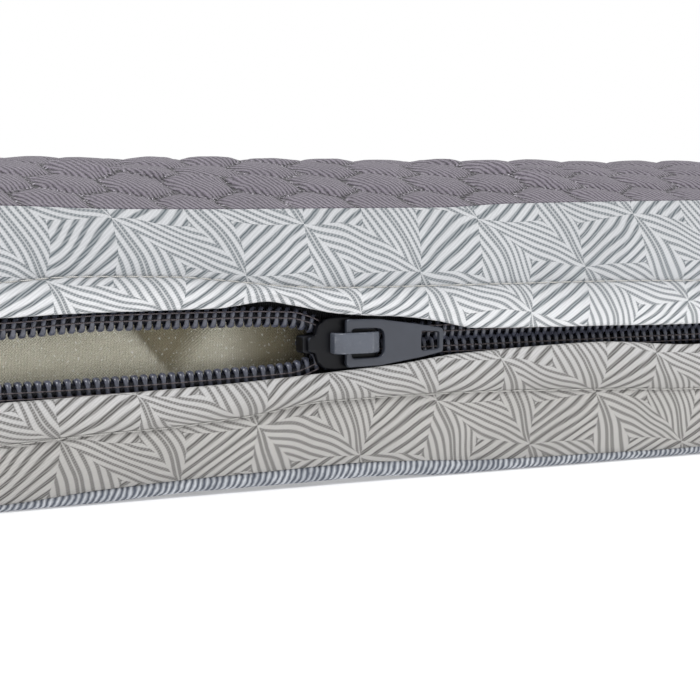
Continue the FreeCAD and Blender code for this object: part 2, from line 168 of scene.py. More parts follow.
class Stations:
    """Places round the plan, counter-clockwise from the left end of the front side."""

    def __init__(self, core: tuple[float, float], xs: Array, ys: Array, corner_steps: int) -> None:
        """Lays the places out.

        Args:
            core: half sides of the rectangle that joins the corners' centres.
            xs: places along the front and back.
            ys: places along the two ends.
            corner_steps: steps in each round corner.
        """
        cx, cy = core
        turn = np.linspace(0, math.pi / 2, corner_steps + 1)[1:-1]
        runs = [
            (np.stack([xs, np.full_like(xs, -cy)], 1), np.full(len(xs), -math.pi / 2)),
            (np.tile([cx, -cy], (len(turn), 1)), turn - math.pi / 2),
            (np.stack([np.full_like(ys, cx), ys], 1), np.zeros(len(ys))),
            (np.tile([cx, cy], (len(turn), 1)), turn),
            (np.stack([xs[::-1], np.full_like(xs, cy)], 1), np.full(len(xs), math.pi / 2)),
            (np.tile([-cx, cy], (len(turn), 1)), turn + math.pi / 2),
            (np.stack([np.full_like(ys, -cx), ys[::-1]], 1), np.full(len(ys), math.pi)),
            (np.tile([-cx, -cy], (len(turn), 1)), turn + math.pi),
        ]
        self.foot = np.concatenate([r[0] for r in runs])
        angle = np.concatenate([r[1] for r in runs])
        self.out = np.stack([np.cos(angle), np.sin(angle)], 1)
        self.front = len(xs)
        self.xs, self.ys = xs, ys

    def points(self, reach: Array, level: Array) -> Array:
        """Points at a distance from the core and a height.

        Args:
            reach: distance out from the core rectangle, per station and row.
            level: height, per station and row.

        Returns:
            An array of station, row and coordinate.
        """
        flat = self.foot[:, None, :] + self.out[:, None, :] * reach[..., None]
        return np.concatenate([flat, np.broadcast_to(level, reach.shape)[..., None]], 2)

    def travel(self, radius: float) -> Array:
        """Distance along the outline, from the first station.

        Args:
            radius: how far out from the core rectangle the outline lies.

        Returns:
            The distance at each station.
        """
        at = self.foot + self.out * radius
        steps = np.linalg.norm(np.diff(at, axis=0), axis=1)
        return np.concatenate([[0.0], np.cumsum(steps)])


# ---------------------------------------------------------------- meshes


def make_object(name: str, vertices: Array, faces: Array, cloth: Array) -> bpy.types.Object:
    """A smooth-shaded mesh object from points in millimetres.

    Args:
        name: the piece's name.
        vertices: its points.
        faces: vertex indices of each face.
        cloth: two cloth coordinates of each vertex, in millimetres, and a mark for its material.

    Returns:
        The new object, linked into the scene.
    """
    mesh = bpy.data.meshes.new(name)
    mesh.from_pydata((np.asarray(vertices) * MM).tolist(), [], faces.tolist())
    layer = mesh.attributes.new("cloth", "FLOAT_VECTOR", "POINT")
    layer.data.foreach_set("vector", np.asarray(cloth, np.float32).ravel())
    mesh.polygons.foreach_set("use_smooth", np.ones(len(mesh.polygons), bool))
    mesh.update()
    made = bpy.data.objects.new(name, mesh)
    bpy.context.scene.collection.objects.link(made)
    return made


def grid_faces(
    rows: int,
    columns: int,
    start: int = 0,
    closed_rows: bool = False,
    closed_columns: bool = False,
    flip: bool = False,
) -> Array:
    """Quads of a grid whose points are stored row by row.

    Args:
        rows: number of rows.
        columns: number of points in a row.
        start: index of the first point.
        closed_rows: whether the last row joins the first.
        closed_columns: whether each row is a ring.
        flip: whether to turn the faces over.

    Returns:
        An array of four indices for each face.
    """
    r = np.arange(rows if closed_rows else rows - 1)
    c = np.arange(columns if closed_columns else columns - 1)
    rr, cc = np.meshgrid(r, c, indexing="ij")
    r1, c1 = (rr + 1) % rows, (cc + 1) % columns
    quad = np.stack([rr * columns + cc, r1 * columns + cc, r1 * columns + c1, rr * columns + c1], -1)
    quad = quad.reshape(-1, 4) + start
    return quad[:, ::-1] if flip else quad


class Pile:
    """Points, cloth coordinates and faces gathered for one piece."""

    def __init__(self) -> None:
        """Starts empty."""
        self.points: list[Array] = []
        self.cloth: list[Array] = []
        self.faces: list[Array] = []
        self.count = 0

    def grid(
        self,
        points: Array,
        cloth: Array,
        flip: bool = False,
        closed_rows: bool = False,
        closed_columns: bool = False,
    ) -> None:
        """Adds a grid of points.

        Args:
            points: rows, columns and coordinates, in millimetres.
            cloth: cloth coordinates of the same grid.
            flip: whether to turn its faces over.
            closed_rows: whether the last row joins the first.
            closed_columns: whether each row is a ring.
        """
        rows, columns = points.shape[:2]
        self.faces.append(grid_faces(rows, columns, self.count, closed_rows, closed_columns, flip))
        self.points.append(points.reshape(-1, 3))
        self.cloth.append(np.broadcast_to(cloth, points.shape).reshape(-1, 3))
        self.count += rows * columns

    def tube(self, path: Array, across: Array, up: Array, ring: Array, mark: float | Array = 0.0) -> None:
        """Adds a tube, tapered shut at both ends.

        Args:
            path: points of its path.
            across: direction of the section's first axis, at each point or for all.
            up: direction of its second axis.
            ring: section points, at each path point or one for all.
            mark: the third cloth number, for all or for each path point.
        """
        ring = np.broadcast_to(ring, (len(path), *ring.shape[-2:]))
        across, up = (np.broadcast_to(v, path.shape)[:, None, :] for v in (across, up))
        points = path[:, None, :] + across * ring[..., :1] + up * ring[..., 1:]
        sides = ring.shape[1]
        first, last = (end[:, None, :].repeat(sides, 1) for end in (path[:1], path[-1:]))
        points = np.concatenate([first, points, last])
        run = np.concatenate([[0.0], np.cumsum(np.linalg.norm(np.diff(path, axis=0), axis=1))])
        run = np.concatenate([run[:1], run, run[-1:]])
        around = np.arange(sides) / sides * math.tau * np.abs(ring).max()
        marks = np.broadcast_to(np.asarray(mark, float), (len(path),))
        marks = np.concatenate([marks[:1], marks, marks[-1:]])
        marks = np.repeat(marks[:, None], sides, 1)
        cloth = np.stack([*np.meshgrid(run, around, indexing="ij"), marks], -1)
        self.grid(points, cloth, closed_columns=True)

    def sheet(self, rim: Array, rim_cloth: Array, cores: Sequence[tuple[Array, Array, bool]]) -> None:
        """Adds rings round the plan and the grids that close them.

        Args:
            rim: points of the rings, per station and ring.
            rim_cloth: their cloth coordinates.
            cores: points, cloth coordinates and flip of each grid inside the core.
        """
        self.grid(rim, rim_cloth, closed_rows=True)
        for points, cloth, flip in cores:
            self.grid(points, cloth, flip)

    def piece(self, name: str) -> bpy.types.Object:
        """The mesh object of everything gathered.

        Args:
            name: the piece's name.

        Returns:
            The new object.
        """
        points, faces, cloth = (np.concatenate(each) for each in (self.points, self.faces, self.cloth))
        made = make_object(name, points, faces, cloth)
        joined = bmesh.new()
        joined.from_mesh(made.data)
        bmesh.ops.remove_doubles(joined, verts=joined.verts, dist=2e-6)
        bmesh.ops.dissolve_degenerate(joined, edges=joined.edges, dist=1e-7)
        joined.to_mesh(made.data)
        joined.free()
        return made


def circle(radius: float | Array, sides: int, flat: float = 1.0) -> Array:
    """Section points of a round or flattened tube.

    Args:
        radius: one radius, or one for each point of the path.
        sides: points round the section.
        flat: height of the section over its width.

    Returns:
        The points of each ring.
    """
    angle = np.arange(sides) / sides * math.tau
    ring = np.stack([np.cos(angle), np.sin(angle) * flat], -1)
    return ring * np.asarray(radius, float)[..., None, None]


def rounded_polygon(
    points: Sequence[tuple[float, float, float]], steps: int = 5
) -> list[tuple[float, float]]:
    """An outline whose corners are arcs.

    Args:
        points: corners as x, y and corner radius.
        steps: segments in each arc.

    Returns:
        The points of the outline.
    """
    most = 0.49
    nearly_straight = math.pi / 2 - 0.02
    made: list[tuple[float, float]] = []
    count = len(points)
    for n, (x, y, radius) in enumerate(points):
        here = np.array([x, y])
        before = np.array(points[n - 1][:2]) - here
        after = np.array(points[(n + 1) % count][:2]) - here
        a, b = before / np.linalg.norm(before), after / np.linalg.norm(after)
        half = math.acos(float(np.clip(a @ b, -1, 1))) / 2
        if radius <= 0 or half > nearly_straight:
            made.append((x, y))
            continue
        cut = min(radius / math.tan(half), *(most * np.linalg.norm(side) for side in (before, after)))
        for t in np.linspace(0, 1, steps + 1):
            p = here + a * cut * (1 - t) ** 2 + b * cut * t**2
            made.append((float(p[0]), float(p[1])))
    return made


class Facing(Enum):
    """Which way a plate's outline lies: its two outline axes, then its thickness axis."""

    FRONT = Matrix(((1, 0, 0), (0, 0, -1), (0, 1, 0)))
    SIDE = Matrix(((1, 0, 0), (0, 1, 0), (0, 0, 1)))


def plate(
    name: str,
    outlines: Sequence[Sequence[tuple[float, float]]],
    centre: Sequence[float],
    thick: float,
    edge: float,
    facing: Facing,
) -> bpy.types.Object:
    """A plate with rounded edges and any holes.

    Args:
        name: the piece's name.
        outlines: the outer outline and then the holes, in the plate's plane.
        centre: where the outline's origin and the middle of the thickness lie.
        thick: the plate's thickness.
        edge: radius of its rounded edges.
        facing: which way it lies.

    Returns:
        The new object.
    """
    line = bpy.data.curves.new(name, "CURVE")
    line.dimensions = "2D"
    line.fill_mode = "BOTH"
    line.extrude = (thick / 2 - edge) * MM
    line.bevel_depth = edge * MM
    line.bevel_resolution = 3
    line.offset = -edge * MM
    for outline in outlines:
        spline = line.splines.new("POLY")
        spline.points.add(len(outline) - 1)
        for point, (x, y) in zip(spline.points, outline):
            point.co = (x * MM, y * MM, 0, 1)
        spline.use_cyclic_u = True
    flat = bpy.data.objects.new(name + ".line", line)
    bpy.context.scene.collection.objects.link(flat)
    mesh = bpy.data.meshes.new_from_object(flat.evaluated_get(bpy.context.evaluated_depsgraph_get()))
    bpy.data.objects.remove(flat)
    bpy.data.curves.remove(line)
    mesh.name = name
    mesh.transform(Matrix.Translation(Vector(centre) * MM) @ facing.value.to_4x4())
    mesh.materials.clear()
    tidy = bmesh.new()
    tidy.from_mesh(mesh)
    bmesh.ops.remove_doubles(tidy, verts=tidy.verts, dist=1e-6)
    tidy.to_mesh(mesh)
    tidy.free()
    mesh.polygons.foreach_set("use_smooth", np.ones(len(mesh.polygons), bool))
    made = bpy.data.objects.new(name, mesh)
    bpy.context.scene.collection.objects.link(made)
    weights = made.modifiers.new("edge shading", "WEIGHTED_NORMAL")
    weights.keep_sharp = True
    return made


def join(name: str, parts: Sequence[bpy.types.Object]) -> bpy.types.Object:
    """Puts several meshes of one physical piece together.

    Args:
        name: the piece's name.
        parts: the objects to merge.

    Returns:
        The merged object.
    """
    merged = bmesh.new()
    for part in parts:
        merged.from_mesh(part.data)
    mesh = bpy.data.meshes.new(name)
    merged.to_mesh(mesh)
    merged.free()
    for part in parts:
        bpy.data.objects.remove(part)
    mesh.polygons.foreach_set("use_smooth", np.ones(len(mesh.polygons), bool))
    made = bpy.data.objects.new(name, mesh)
    bpy.context.scene.collection.objects.link(made)
    made.modifiers.new("edge shading", "WEIGHTED_NORMAL")
    return made


def settle(
    piece: bpy.types.Object,
    finish: bpy.types.Material,
    replaced: Iterable[str],
    body: str = BODY,
) -> bpy.types.Object:
    """Dresses a piece, ties it to its body and hides the CAD nodes it stands for.

    Args:
        piece: the object.
        finish: its material.
        replaced: names of the CAD nodes it stands for.
        body: the body that it rides on.

    Returns:
        The same object.
    """
    piece.data.materials.clear()
    piece.data.materials.append(finish)
    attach(piece, body)
    nodes = list(replaced)
    if nodes:
        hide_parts(*nodes)
    LOG.info("%s: %d faces", piece.name, len(piece.data.polygons))
    return piece


# ---------------------------------------------------------------- shader effects


def colour(red: int, green: int, blue: int) -> tuple[float, float, float, float]:
    """A linear shader colour from display values of 0 to 255."""
    return tuple(linear(v / 255) for v in (red, green, blue)) + (1.0,)


def linear(value: float) -> float:
    """Linear light of one display value."""
    return value / 12.92 if value <= 0.04045 else ((value + 0.055) / 1.055) ** 2.4


class Nodes:
    """Short ways to add and join the nodes of one shader tree."""

    def __init__(self, tree: bpy.types.NodeTree) -> None:
        """Keeps the tree."""
        self.tree = tree

    def add(self, kind: str, **settings: object) -> bpy.types.Node:
        """Adds a node and sets its properties.

        Args:
            kind: the node's type, without its leading ShaderNode.
            settings: its properties.

        Returns:
            The new node.
        """
        node = self.tree.nodes.new("ShaderNode" + kind)
        for key, value in settings.items():
            setattr(node, key, value)
        return node

    def feed(self, socket: bpy.types.NodeSocket, value: object) -> None:
        """Links an output to a socket, or sets the socket's constant.

        Args:
            socket: the input to feed.
            value: an output socket or a constant.
        """
        if isinstance(value, bpy.types.NodeSocket):
            self.tree.links.new(value, socket)
        else:
            socket.default_value = value

    def math(self, kind: str, *values: object) -> bpy.types.NodeSocket:
        """One Math node.

        Args:
            kind: its operation.
            values: sockets or constants for its inputs, in order.

        Returns:
            Its result.
        """
        node = self.add("Math", operation=kind)
        for socket, value in zip(node.inputs, values):
            self.feed(socket, value)
        return node.outputs[0]

    def vector(self, kind: str, *values: object) -> bpy.types.NodeSocket:
        """One Vector Math node.

        Args:
            kind: its operation.
            values: sockets or constants for its inputs, in order.

        Returns:
            Its vector, or its number for a dot product.
        """
        node = self.add("VectorMath", operation=kind)
        sockets = [node.inputs[0], node.inputs[3]] if kind == "SCALE" else node.inputs
        for socket, value in zip(sockets, values):
            self.feed(socket, value)
        return node.outputs["Value" if kind == "DOT_PRODUCT" else "Vector"]

    def mix(self, share: object, first: object, second: object, blend: str = "MIX") -> bpy.types.NodeSocket:
        """A mixture of two colours.

        Args:
            share: how much of the second colour.
            first: the first colour.
            second: the second colour.
            blend: the way they mix.

        Returns:
            The mixed colour.
        """
        node = self.add("Mix", data_type="RGBA", blend_type=blend)
        self.feed(node.inputs[0], share)
        self.feed(node.inputs[6], first)
        self.feed(node.inputs[7], second)
        return node.outputs[2]

    def between(
        self, value: object, low: object, high: object, start: float = 0.0, end: float = 1.0
    ) -> bpy.types.NodeSocket:
        """A smooth step of a value from one range to another.

        Args:
            value: the value.
            low: where the step begins.
            high: where it ends.
            start: the result before the step.
            end: the result after it.

        Returns:
            The stepped value.
        """
        node = self.add("MapRange", interpolation_type="SMOOTHSTEP")
        names = ("Value", "From Min", "From Max", "To Min", "To Max")
        for name, number in zip(names, (value, low, high, start, end)):
            self.feed(node.inputs[name], number)
        return node.outputs["Result"]

    def noise(self, at: object, scale: float, detail: float = 2.0) -> bpy.types.Node:
        """A noise texture.

        Args:
            at: where it is sampled.
            scale: its cells to the unit.
            detail: how many finer noises are added.

        Returns:
            The texture node.
        """
        node = self.add("TexNoise")
        self.feed(node.inputs["Vector"], at)
        self.feed(node.inputs["Scale"], scale)
        self.feed(node.inputs["Detail"], detail)
        return node

    def effect(self, group: "Effect", **values: object) -> bpy.types.Node:
        """Places an effect group with its own values.

        Args:
            group: the effect.
            values: sockets or constants for the group's inputs.

        Returns:
            The group node.
        """
        node = self.add("Group")
        node.node_tree = group.tree()
        for name, value in values.items():
            self.feed(node.inputs[name], value)
        return node


class Effect:
    """A shader effect that several materials place with their own values."""

    name = "effect"
    inputs: tuple[tuple[str, str, object], ...] = ()
    outputs: tuple[tuple[str, str], ...] = ()

    def tree(self) -> bpy.types.NodeTree:
        """The node group, built the first time that it is asked for.

        Returns:
            The group's tree.
        """
        found = bpy.data.node_groups.get(self.name)
        if found:
            return found
        tree = bpy.data.node_groups.new(self.name, "ShaderNodeTree")
        for title, kind, value in self.inputs:
            socket = tree.interface.new_socket(title, in_out="INPUT", socket_type="NodeSocket" + kind)
            if value is not None:
                socket.default_value = value
        for title, kind in self.outputs:
            tree.interface.new_socket(title, in_out="OUTPUT", socket_type="NodeSocket" + kind)
        entry = tree.nodes.new("NodeGroupInput")
        result = tree.nodes.new("NodeGroupOutput")
        self.wire(Nodes(tree), entry.outputs, result.inputs)
        return tree

    def wire(self, n: Nodes, given: bpy.types.NodeInputs, out: bpy.types.NodeOutputs) -> None:
        """Adds the nodes between the group's inputs and outputs."""


class Motif(Effect):
    """Nested triangles of parallel stripes, whose corners meet in stars."""

    name = "striped triangles"
    inputs = (
        ("Cloth", "Vector", None),
        ("Stripes", "Float", 11.4),
        ("Ink width", "Float", 0.4),
        ("Drift", "Float", 1.6),
    )
    outputs = (("Ink", "Float"),)
    rising = (17.0, 11.5)
    falling = (29.0, -11.5)
    soft = 0.09

    def wire(self, n: Nodes, given: bpy.types.NodeInputs, out: bpy.types.NodeOutputs) -> None:
        """Finds the nearest side of the triangle that a point is in, and stripes along it.

        Args:
            n: the group's nodes.
            given: its inputs.
            out: its outputs.
        """
        wander = n.vector("SUBTRACT", n.noise(given["Cloth"], 0.045, 1.0).outputs["Color"], (0.5, 0.5, 0.5))
        drift = n.vector("SCALE", n.vector("MULTIPLY", wander, (4.0, 4.0, 0.0)), given["Drift"])
        spot = n.vector("ADD", given["Cloth"], drift)
        # Where the point lies in its lattice cell, and on which side of the cell's diagonal.
        (ax, az), (bx, bz) = self.rising, self.falling
        area = ax * bz - bx * az
        steps = n.vector("DOT_PRODUCT", spot, (bz / area, -bx / area, 0.0))
        along, row = n.math("FRACT", steps), n.math("FLOOR", steps)
        down = n.math("FRACT", n.vector("DOT_PRODUCT", spot, (-az / area, ax / area, 0.0)))
        total = n.math("ADD", along, down)
        far = n.math("GREATER_THAN", total, 1.0)
        # Distances from the triangle's three sides; every second row weighs them differently.
        first = n.math("ADD", along, n.math("MULTIPLY", far, n.math("MULTIPLY_ADD", along, -2.0, 1.0)))
        second = n.math("ADD", down, n.math("MULTIPLY", far, n.math("MULTIPLY_ADD", down, -2.0, 1.0)))
        third = n.math("ABSOLUTE", n.math("SUBTRACT", 1.0, total))
        odd = n.math("MULTIPLY", n.math("FRACT", n.math("MULTIPLY", row, 0.5)), 2.0)
        thin_first = n.math("MULTIPLY", first, n.math("MULTIPLY_ADD", odd, -0.9, 1.9))
        thin_third = n.math("MULTIPLY", third, n.math("MULTIPLY_ADD", odd, 0.9, 1.0))
        least = n.math("MINIMUM", n.math("MINIMUM", thin_first, second), thin_third)
        on_second = n.math("COMPARE", least, second, 1e-5)
        on_third = n.math("COMPARE", least, thin_third, 1e-5)
        # Stripes run along the nearest side, and start a little apart on each.
        near = n.math("MULTIPLY_ADD", on_second, n.math("SUBTRACT", second, first), first)
        near = n.math("MULTIPLY_ADD", on_third, n.math("SUBTRACT", third, near), near)
        shift = n.math("ADD", n.math("MULTIPLY", on_second, 0.45), n.math("MULTIPLY", on_third, 0.2))
        phase = n.math("FRACT", n.math("ADD", n.math("MULTIPLY", near, given["Stripes"]), shift))
        away = n.math("ABSOLUTE", n.math("SUBTRACT", phase, 0.5))
        edge = n.math("MULTIPLY", given["Ink width"], 0.5)
        outside = n.between(away, n.math("SUBTRACT", edge, self.soft), n.math("ADD", edge, self.soft))
        stripe = n.math("SUBTRACT", 1.0, outside)
        n.feed(out["Ink"], n.math("MULTIPLY", stripe, n.math("MULTIPLY_ADD", on_second, 0.14, 0.86)))


class Ribs(Effect):
    """Fine parallel ribs, as of twill, knit or piping cloth, that waver a little."""

    name = "fine ribs"
    inputs = (
        ("Cloth", "Vector", None),
        ("Pitch", "Float", 1.0),
        ("Turn", "Float", 0.0),
        ("Waver", "Float", 0.2),
    )
    outputs = (("Rib", "Float"), ("Stitches", "Float"))

    def wire(self, n: Nodes, given: bpy.types.NodeInputs, out: bpy.types.NodeOutputs) -> None:
        """Turns the cloth, then takes waves across it and along it.

        Args:
            n: the group's nodes.
            given: its inputs.
            out: its outputs.
        """
        turned = n.add("VectorRotate", rotation_type="Z_AXIS")
        n.feed(turned.inputs["Vector"], given["Cloth"])
        n.feed(turned.inputs["Angle"], given["Turn"])
        apart = n.add("SeparateXYZ")
        n.feed(apart.inputs[0], turned.outputs[0])
        soft = n.math("SUBTRACT", n.noise(given["Cloth"], 0.35).outputs["Fac"], 0.5)
        even = n.math("DIVIDE", apart.outputs[0], given["Pitch"])
        place = n.math("ADD", even, n.math("MULTIPLY", soft, given["Waver"]))
        wave = n.math("SINE", n.math("MULTIPLY", place, math.tau))
        n.feed(out["Rib"], n.math("MULTIPLY_ADD", wave, 0.5, 0.5))
        along = n.math("DIVIDE", apart.outputs[1], given["Pitch"])
        beat = n.math("SINE", n.math("MULTIPLY", along, math.tau))
        n.feed(out["Stitches"], n.math("MULTIPLY_ADD", n.math("MULTIPLY", wave, beat), 0.5, 0.5))


class Mottle(Effect):
    """Slow and fine unevenness of a surface's tone."""

    name = "mottle"
    inputs = (("Place", "Vector", None), ("Broad", "Float", 0.05), ("Fine", "Float", 1.5))
    outputs = (("Tone", "Float"), ("Grain", "Float"))

    def wire(self, n: Nodes, given: bpy.types.NodeInputs, out: bpy.types.NodeOutputs) -> None:
        """Takes one broad and one fine noise.

        Args:
            n: the group's nodes.
            given: its inputs.
            out: its outputs.
        """
        broad = n.noise(given["Place"], given["Broad"], 3.0)
        n.feed(out["Tone"], n.between(broad.outputs["Fac"], 0.3, 0.7))
        n.feed(out["Grain"], n.noise(given["Place"], given["Fine"], 3.0).outputs["Fac"])


class RubAndHighlight(Effect):
    """Paler outer edges, partly rubbed and partly painted highlight, from how sharply a surface bends."""

    name = "rubbed and highlighted edges"
    inputs = (("Place", "Vector", None), ("Reach", "Float", 0.06))
    outputs = (("Rubbed and lit", "Float"),)

    def wire(self, n: Nodes, given: bpy.types.NodeInputs, out: bpy.types.NodeOutputs) -> None:
        """Breaks up the sharp convex places with noise.

        Args:
            n: the group's nodes.
            given: its inputs.
            out: its outputs.
        """
        bend = n.add("NewGeometry").outputs["Pointiness"]
        patchy = n.math("MULTIPLY_ADD", n.noise(given["Place"], 0.9).outputs["Fac"], 0.06, 0.5)
        # The result pales sharp edges: partly rubbing, partly painted highlight.
        n.feed(out["Rubbed and lit"], n.between(n.math("SUBTRACT", bend, patchy), 0.0, given["Reach"]))


MOTIF, RIBS, MOTTLE, RUB_AND_HIGHLIGHT = Motif(), Ribs(), Mottle(), RubAndHighlight()


# ---------------------------------------------------------------- finishes


@dataclass(frozen=True)
class Finish:
    """What every finish has: its name, and how its surface takes light."""

    title: str
    rough: float = 0.85
    sheen: float = 0.0
    coat: float = 0.0
    shine: float = 0.5

    def material(self) -> bpy.types.Material:
        """The finish's material, built once.

        Returns:
            The material.
        """
        found = bpy.data.materials.get(self.title)
        if found:
            return found
        made = bpy.data.materials.new(self.title)
        made.use_nodes = True
        nodes = Nodes(made.node_tree)
        shader = made.node_tree.nodes["Principled BSDF"]
        shader.inputs["Roughness"].default_value = self.rough
        shader.inputs["Sheen Weight"].default_value = self.sheen
        shader.inputs["Sheen Roughness"].default_value = 0.5
        shader.inputs["Coat Weight"].default_value = self.coat
        shader.inputs["Specular IOR Level"].default_value = self.shine
        shader.inputs["Coat Roughness"].default_value = 0.25
        self.dress(nodes, shader)
        return made

    def cloth(self, n: Nodes) -> bpy.types.NodeSocket:
        """Cloth coordinates in millimetres, whose third number marks seams, tips, the lips' painted
        highlight and the sleeve's painted shade.
        """
        return n.add("Attribute", attribute_name="cloth").outputs["Vector"]

    def place(self, n: Nodes) -> bpy.types.NodeSocket:
        """Millimetres in the piece's own frame."""
        return n.vector("SCALE", n.add("TexCoord").outputs["Object"], 1 / MM)

    def mark(self, n: Nodes, cloth: bpy.types.NodeSocket) -> bpy.types.NodeSocket:
        """The third cloth number.

        Args:
            n: the material's nodes.
            cloth: the cloth coordinates.

        Returns:
            The number.
        """
        apart = n.add("SeparateXYZ")
        n.feed(apart.inputs[0], cloth)
        return apart.outputs[2]

    def relief(
        self, n: Nodes, shader: bpy.types.Node, height: object, depth: float, strength: float
    ) -> None:
        """Bumps the surface by a height of 0 to 1 times a depth.

        Args:
            n: the material's nodes.
            shader: its surface shader.
            height: the height.
            depth: the depth, in millimetres.
            strength: how much of the bump shows.
        """
        bump = n.add("Bump")
        n.feed(bump.inputs["Height"], height)
        bump.inputs["Distance"].default_value = depth * MM
        bump.inputs["Strength"].default_value = strength
        n.feed(shader.inputs["Normal"], bump.outputs[0])

    def dress(self, n: Nodes, shader: bpy.types.Node) -> None:
        """Adds the finish's own nodes."""


@dataclass(frozen=True)
class PrintedCloth(Finish):
    """Border cloth: stripes of ink sunk into a pale quilted twill, paled on the lips by a painted
    highlight.
    """

    ground: tuple[int, int, int] = (216, 218, 221)
    ink: tuple[int, int, int] = (86, 97, 103)
    # Colour that the lips pale towards near their folds: painted highlight.
    edge: tuple[int, int, int] = (252, 253, 255)
    twill: float = 0.62
    turn: float = -0.62

    def dress(self, n: Nodes, shader: bpy.types.Node) -> None:
        """Prints the motif, then the twill that breaks its stripes into dots.

        Args:
            n: the material's nodes.
            shader: its surface shader.
        """
        cloth = self.cloth(n)
        ink = n.effect(MOTIF, Cloth=cloth).outputs["Ink"]
        weave = n.effect(RIBS, Cloth=cloth, Pitch=self.twill, Turn=self.turn + math.pi / 2, Waver=0.5)
        tone = n.effect(MOTTLE, Place=cloth, Broad=0.03, Fine=0.9)
        dotted = n.math("MULTIPLY", ink, n.math("MULTIPLY_ADD", weave.outputs["Rib"], -0.5, 1.0))
        pale = n.mix(tone.outputs["Tone"], colour(*(v - 9 for v in self.ground)), colour(*self.ground))
        # The cloth mark paints a highlight on the lips.
        pale = n.mix(self.mark(n, cloth), pale, colour(*self.edge))
        hollow = colour(*(v // 2 for v in self.ground))
        woven = n.mix(n.math("MULTIPLY", weave.outputs["Rib"], 0.16), pale, hollow)
        n.feed(shader.inputs["Base Color"], n.mix(dotted, woven, colour(*self.ink)))
        height = n.math("SUBTRACT", n.math("MULTIPLY", weave.outputs["Rib"], 0.3), ink)
        self.relief(n, shader, height, 0.35, 0.7)


@dataclass(frozen=True)
class QuiltKnit(Finish):
    """Top cloth: a mauve-grey knit with fine ribs and stitched seams, with painted shade between the ribs
    and along the seams.
    """

    crown: tuple[int, int, int] = (144, 136, 149)
    # Colour of the painted shade between the ribs and in the seams.
    groove_shade: tuple[int, int, int] = (44, 38, 49)
    bead: tuple[int, int, int] = (232, 226, 238)
    pitch: float = 1.2
    turn: float = -0.34

    def dress(self, n: Nodes, shader: bpy.types.Node) -> None:
        """Ribs the cloth with painted shade between its ribs, darkens its seams with painted shade, and
        adds pale specks where the needle went.

        Args:
            n: the material's nodes.
            shader: its surface shader.
        """
        cloth = self.cloth(n)
        seam = self.mark(n, cloth)
        knit = n.effect(RIBS, Cloth=cloth, Pitch=self.pitch, Turn=self.turn, Waver=0.8)
        tone = n.effect(MOTTLE, Place=cloth, Broad=0.05, Fine=1.9)
        # Painted shade: darker between the ribs, and more so near the seams.
        between_ribs = n.math("POWER", n.math("SUBTRACT", 1.0, knit.outputs["Rib"]), 1.35)
        shading = n.math("MULTIPLY_ADD", n.between(seam, 0.2, 1.0), 0.45, 0.74)
        deep = n.math("MULTIPLY", between_ribs, shading)
        flecked = n.math("MULTIPLY_ADD", n.math("SUBTRACT", tone.outputs["Grain"], 0.5), -1.1, deep)
        base = n.mix(n.math("MAXIMUM", flecked, 0.0), colour(*self.crown), colour(*self.groove_shade))
        aged = n.mix(n.math("MULTIPLY", tone.outputs["Tone"], 0.14), base, colour(*self.groove_shade))
        # Painted shade in the seams' valleys.
        sunk = n.mix(n.between(seam, 0.6, 1.0, 0.0, 0.92), aged, colour(*(v // 2 for v in self.groove_shade)))
        beads = n.math("MULTIPLY", n.between(tone.outputs["Grain"], 0.6, 0.65), n.between(seam, 0.5, 0.9))
        beaded = n.mix(n.math("MULTIPLY", beads, 0.85), sunk, colour(*self.bead))
        n.feed(shader.inputs["Base Color"], beaded)
        height = n.math("MULTIPLY_ADD", tone.outputs["Grain"], 1.2, knit.outputs["Rib"])
        self.relief(n, shader, height, 0.34, 0.9)


@dataclass(frozen=True)
class Ribbed(Finish):
    """Cloth or yarn with one set of ribs between two tones."""

    light: tuple[int, int, int] = (210, 212, 216)
    dark: tuple[int, int, int] = (120, 124, 132)
    pitch: float = 1.0
    turn: float = 0.0
    depth: float = 0.25

    def dress(self, n: Nodes, shader: bpy.types.Node) -> None:
        """Ribs and mottles the cloth.

        Args:
            n: the material's nodes.
            shader: its surface shader.
        """
        cloth = self.cloth(n)
        rib = n.effect(RIBS, Cloth=cloth, Pitch=self.pitch, Turn=self.turn, Waver=0.7)
        tone = n.effect(MOTTLE, Place=cloth, Broad=0.09, Fine=2.4)
        broad = n.math("MULTIPLY_ADD", tone.outputs["Tone"], 0.35, 0.65)
        share = n.math("MULTIPLY", rib.outputs["Rib"], broad)
        n.feed(shader.inputs["Base Color"], n.mix(share, colour(*self.dark), colour(*self.light)))
        bumps = n.math("MULTIPLY_ADD", tone.outputs["Grain"], 0.5, rib.outputs["Rib"])
        self.relief(n, shader, bumps, self.depth, 0.8)


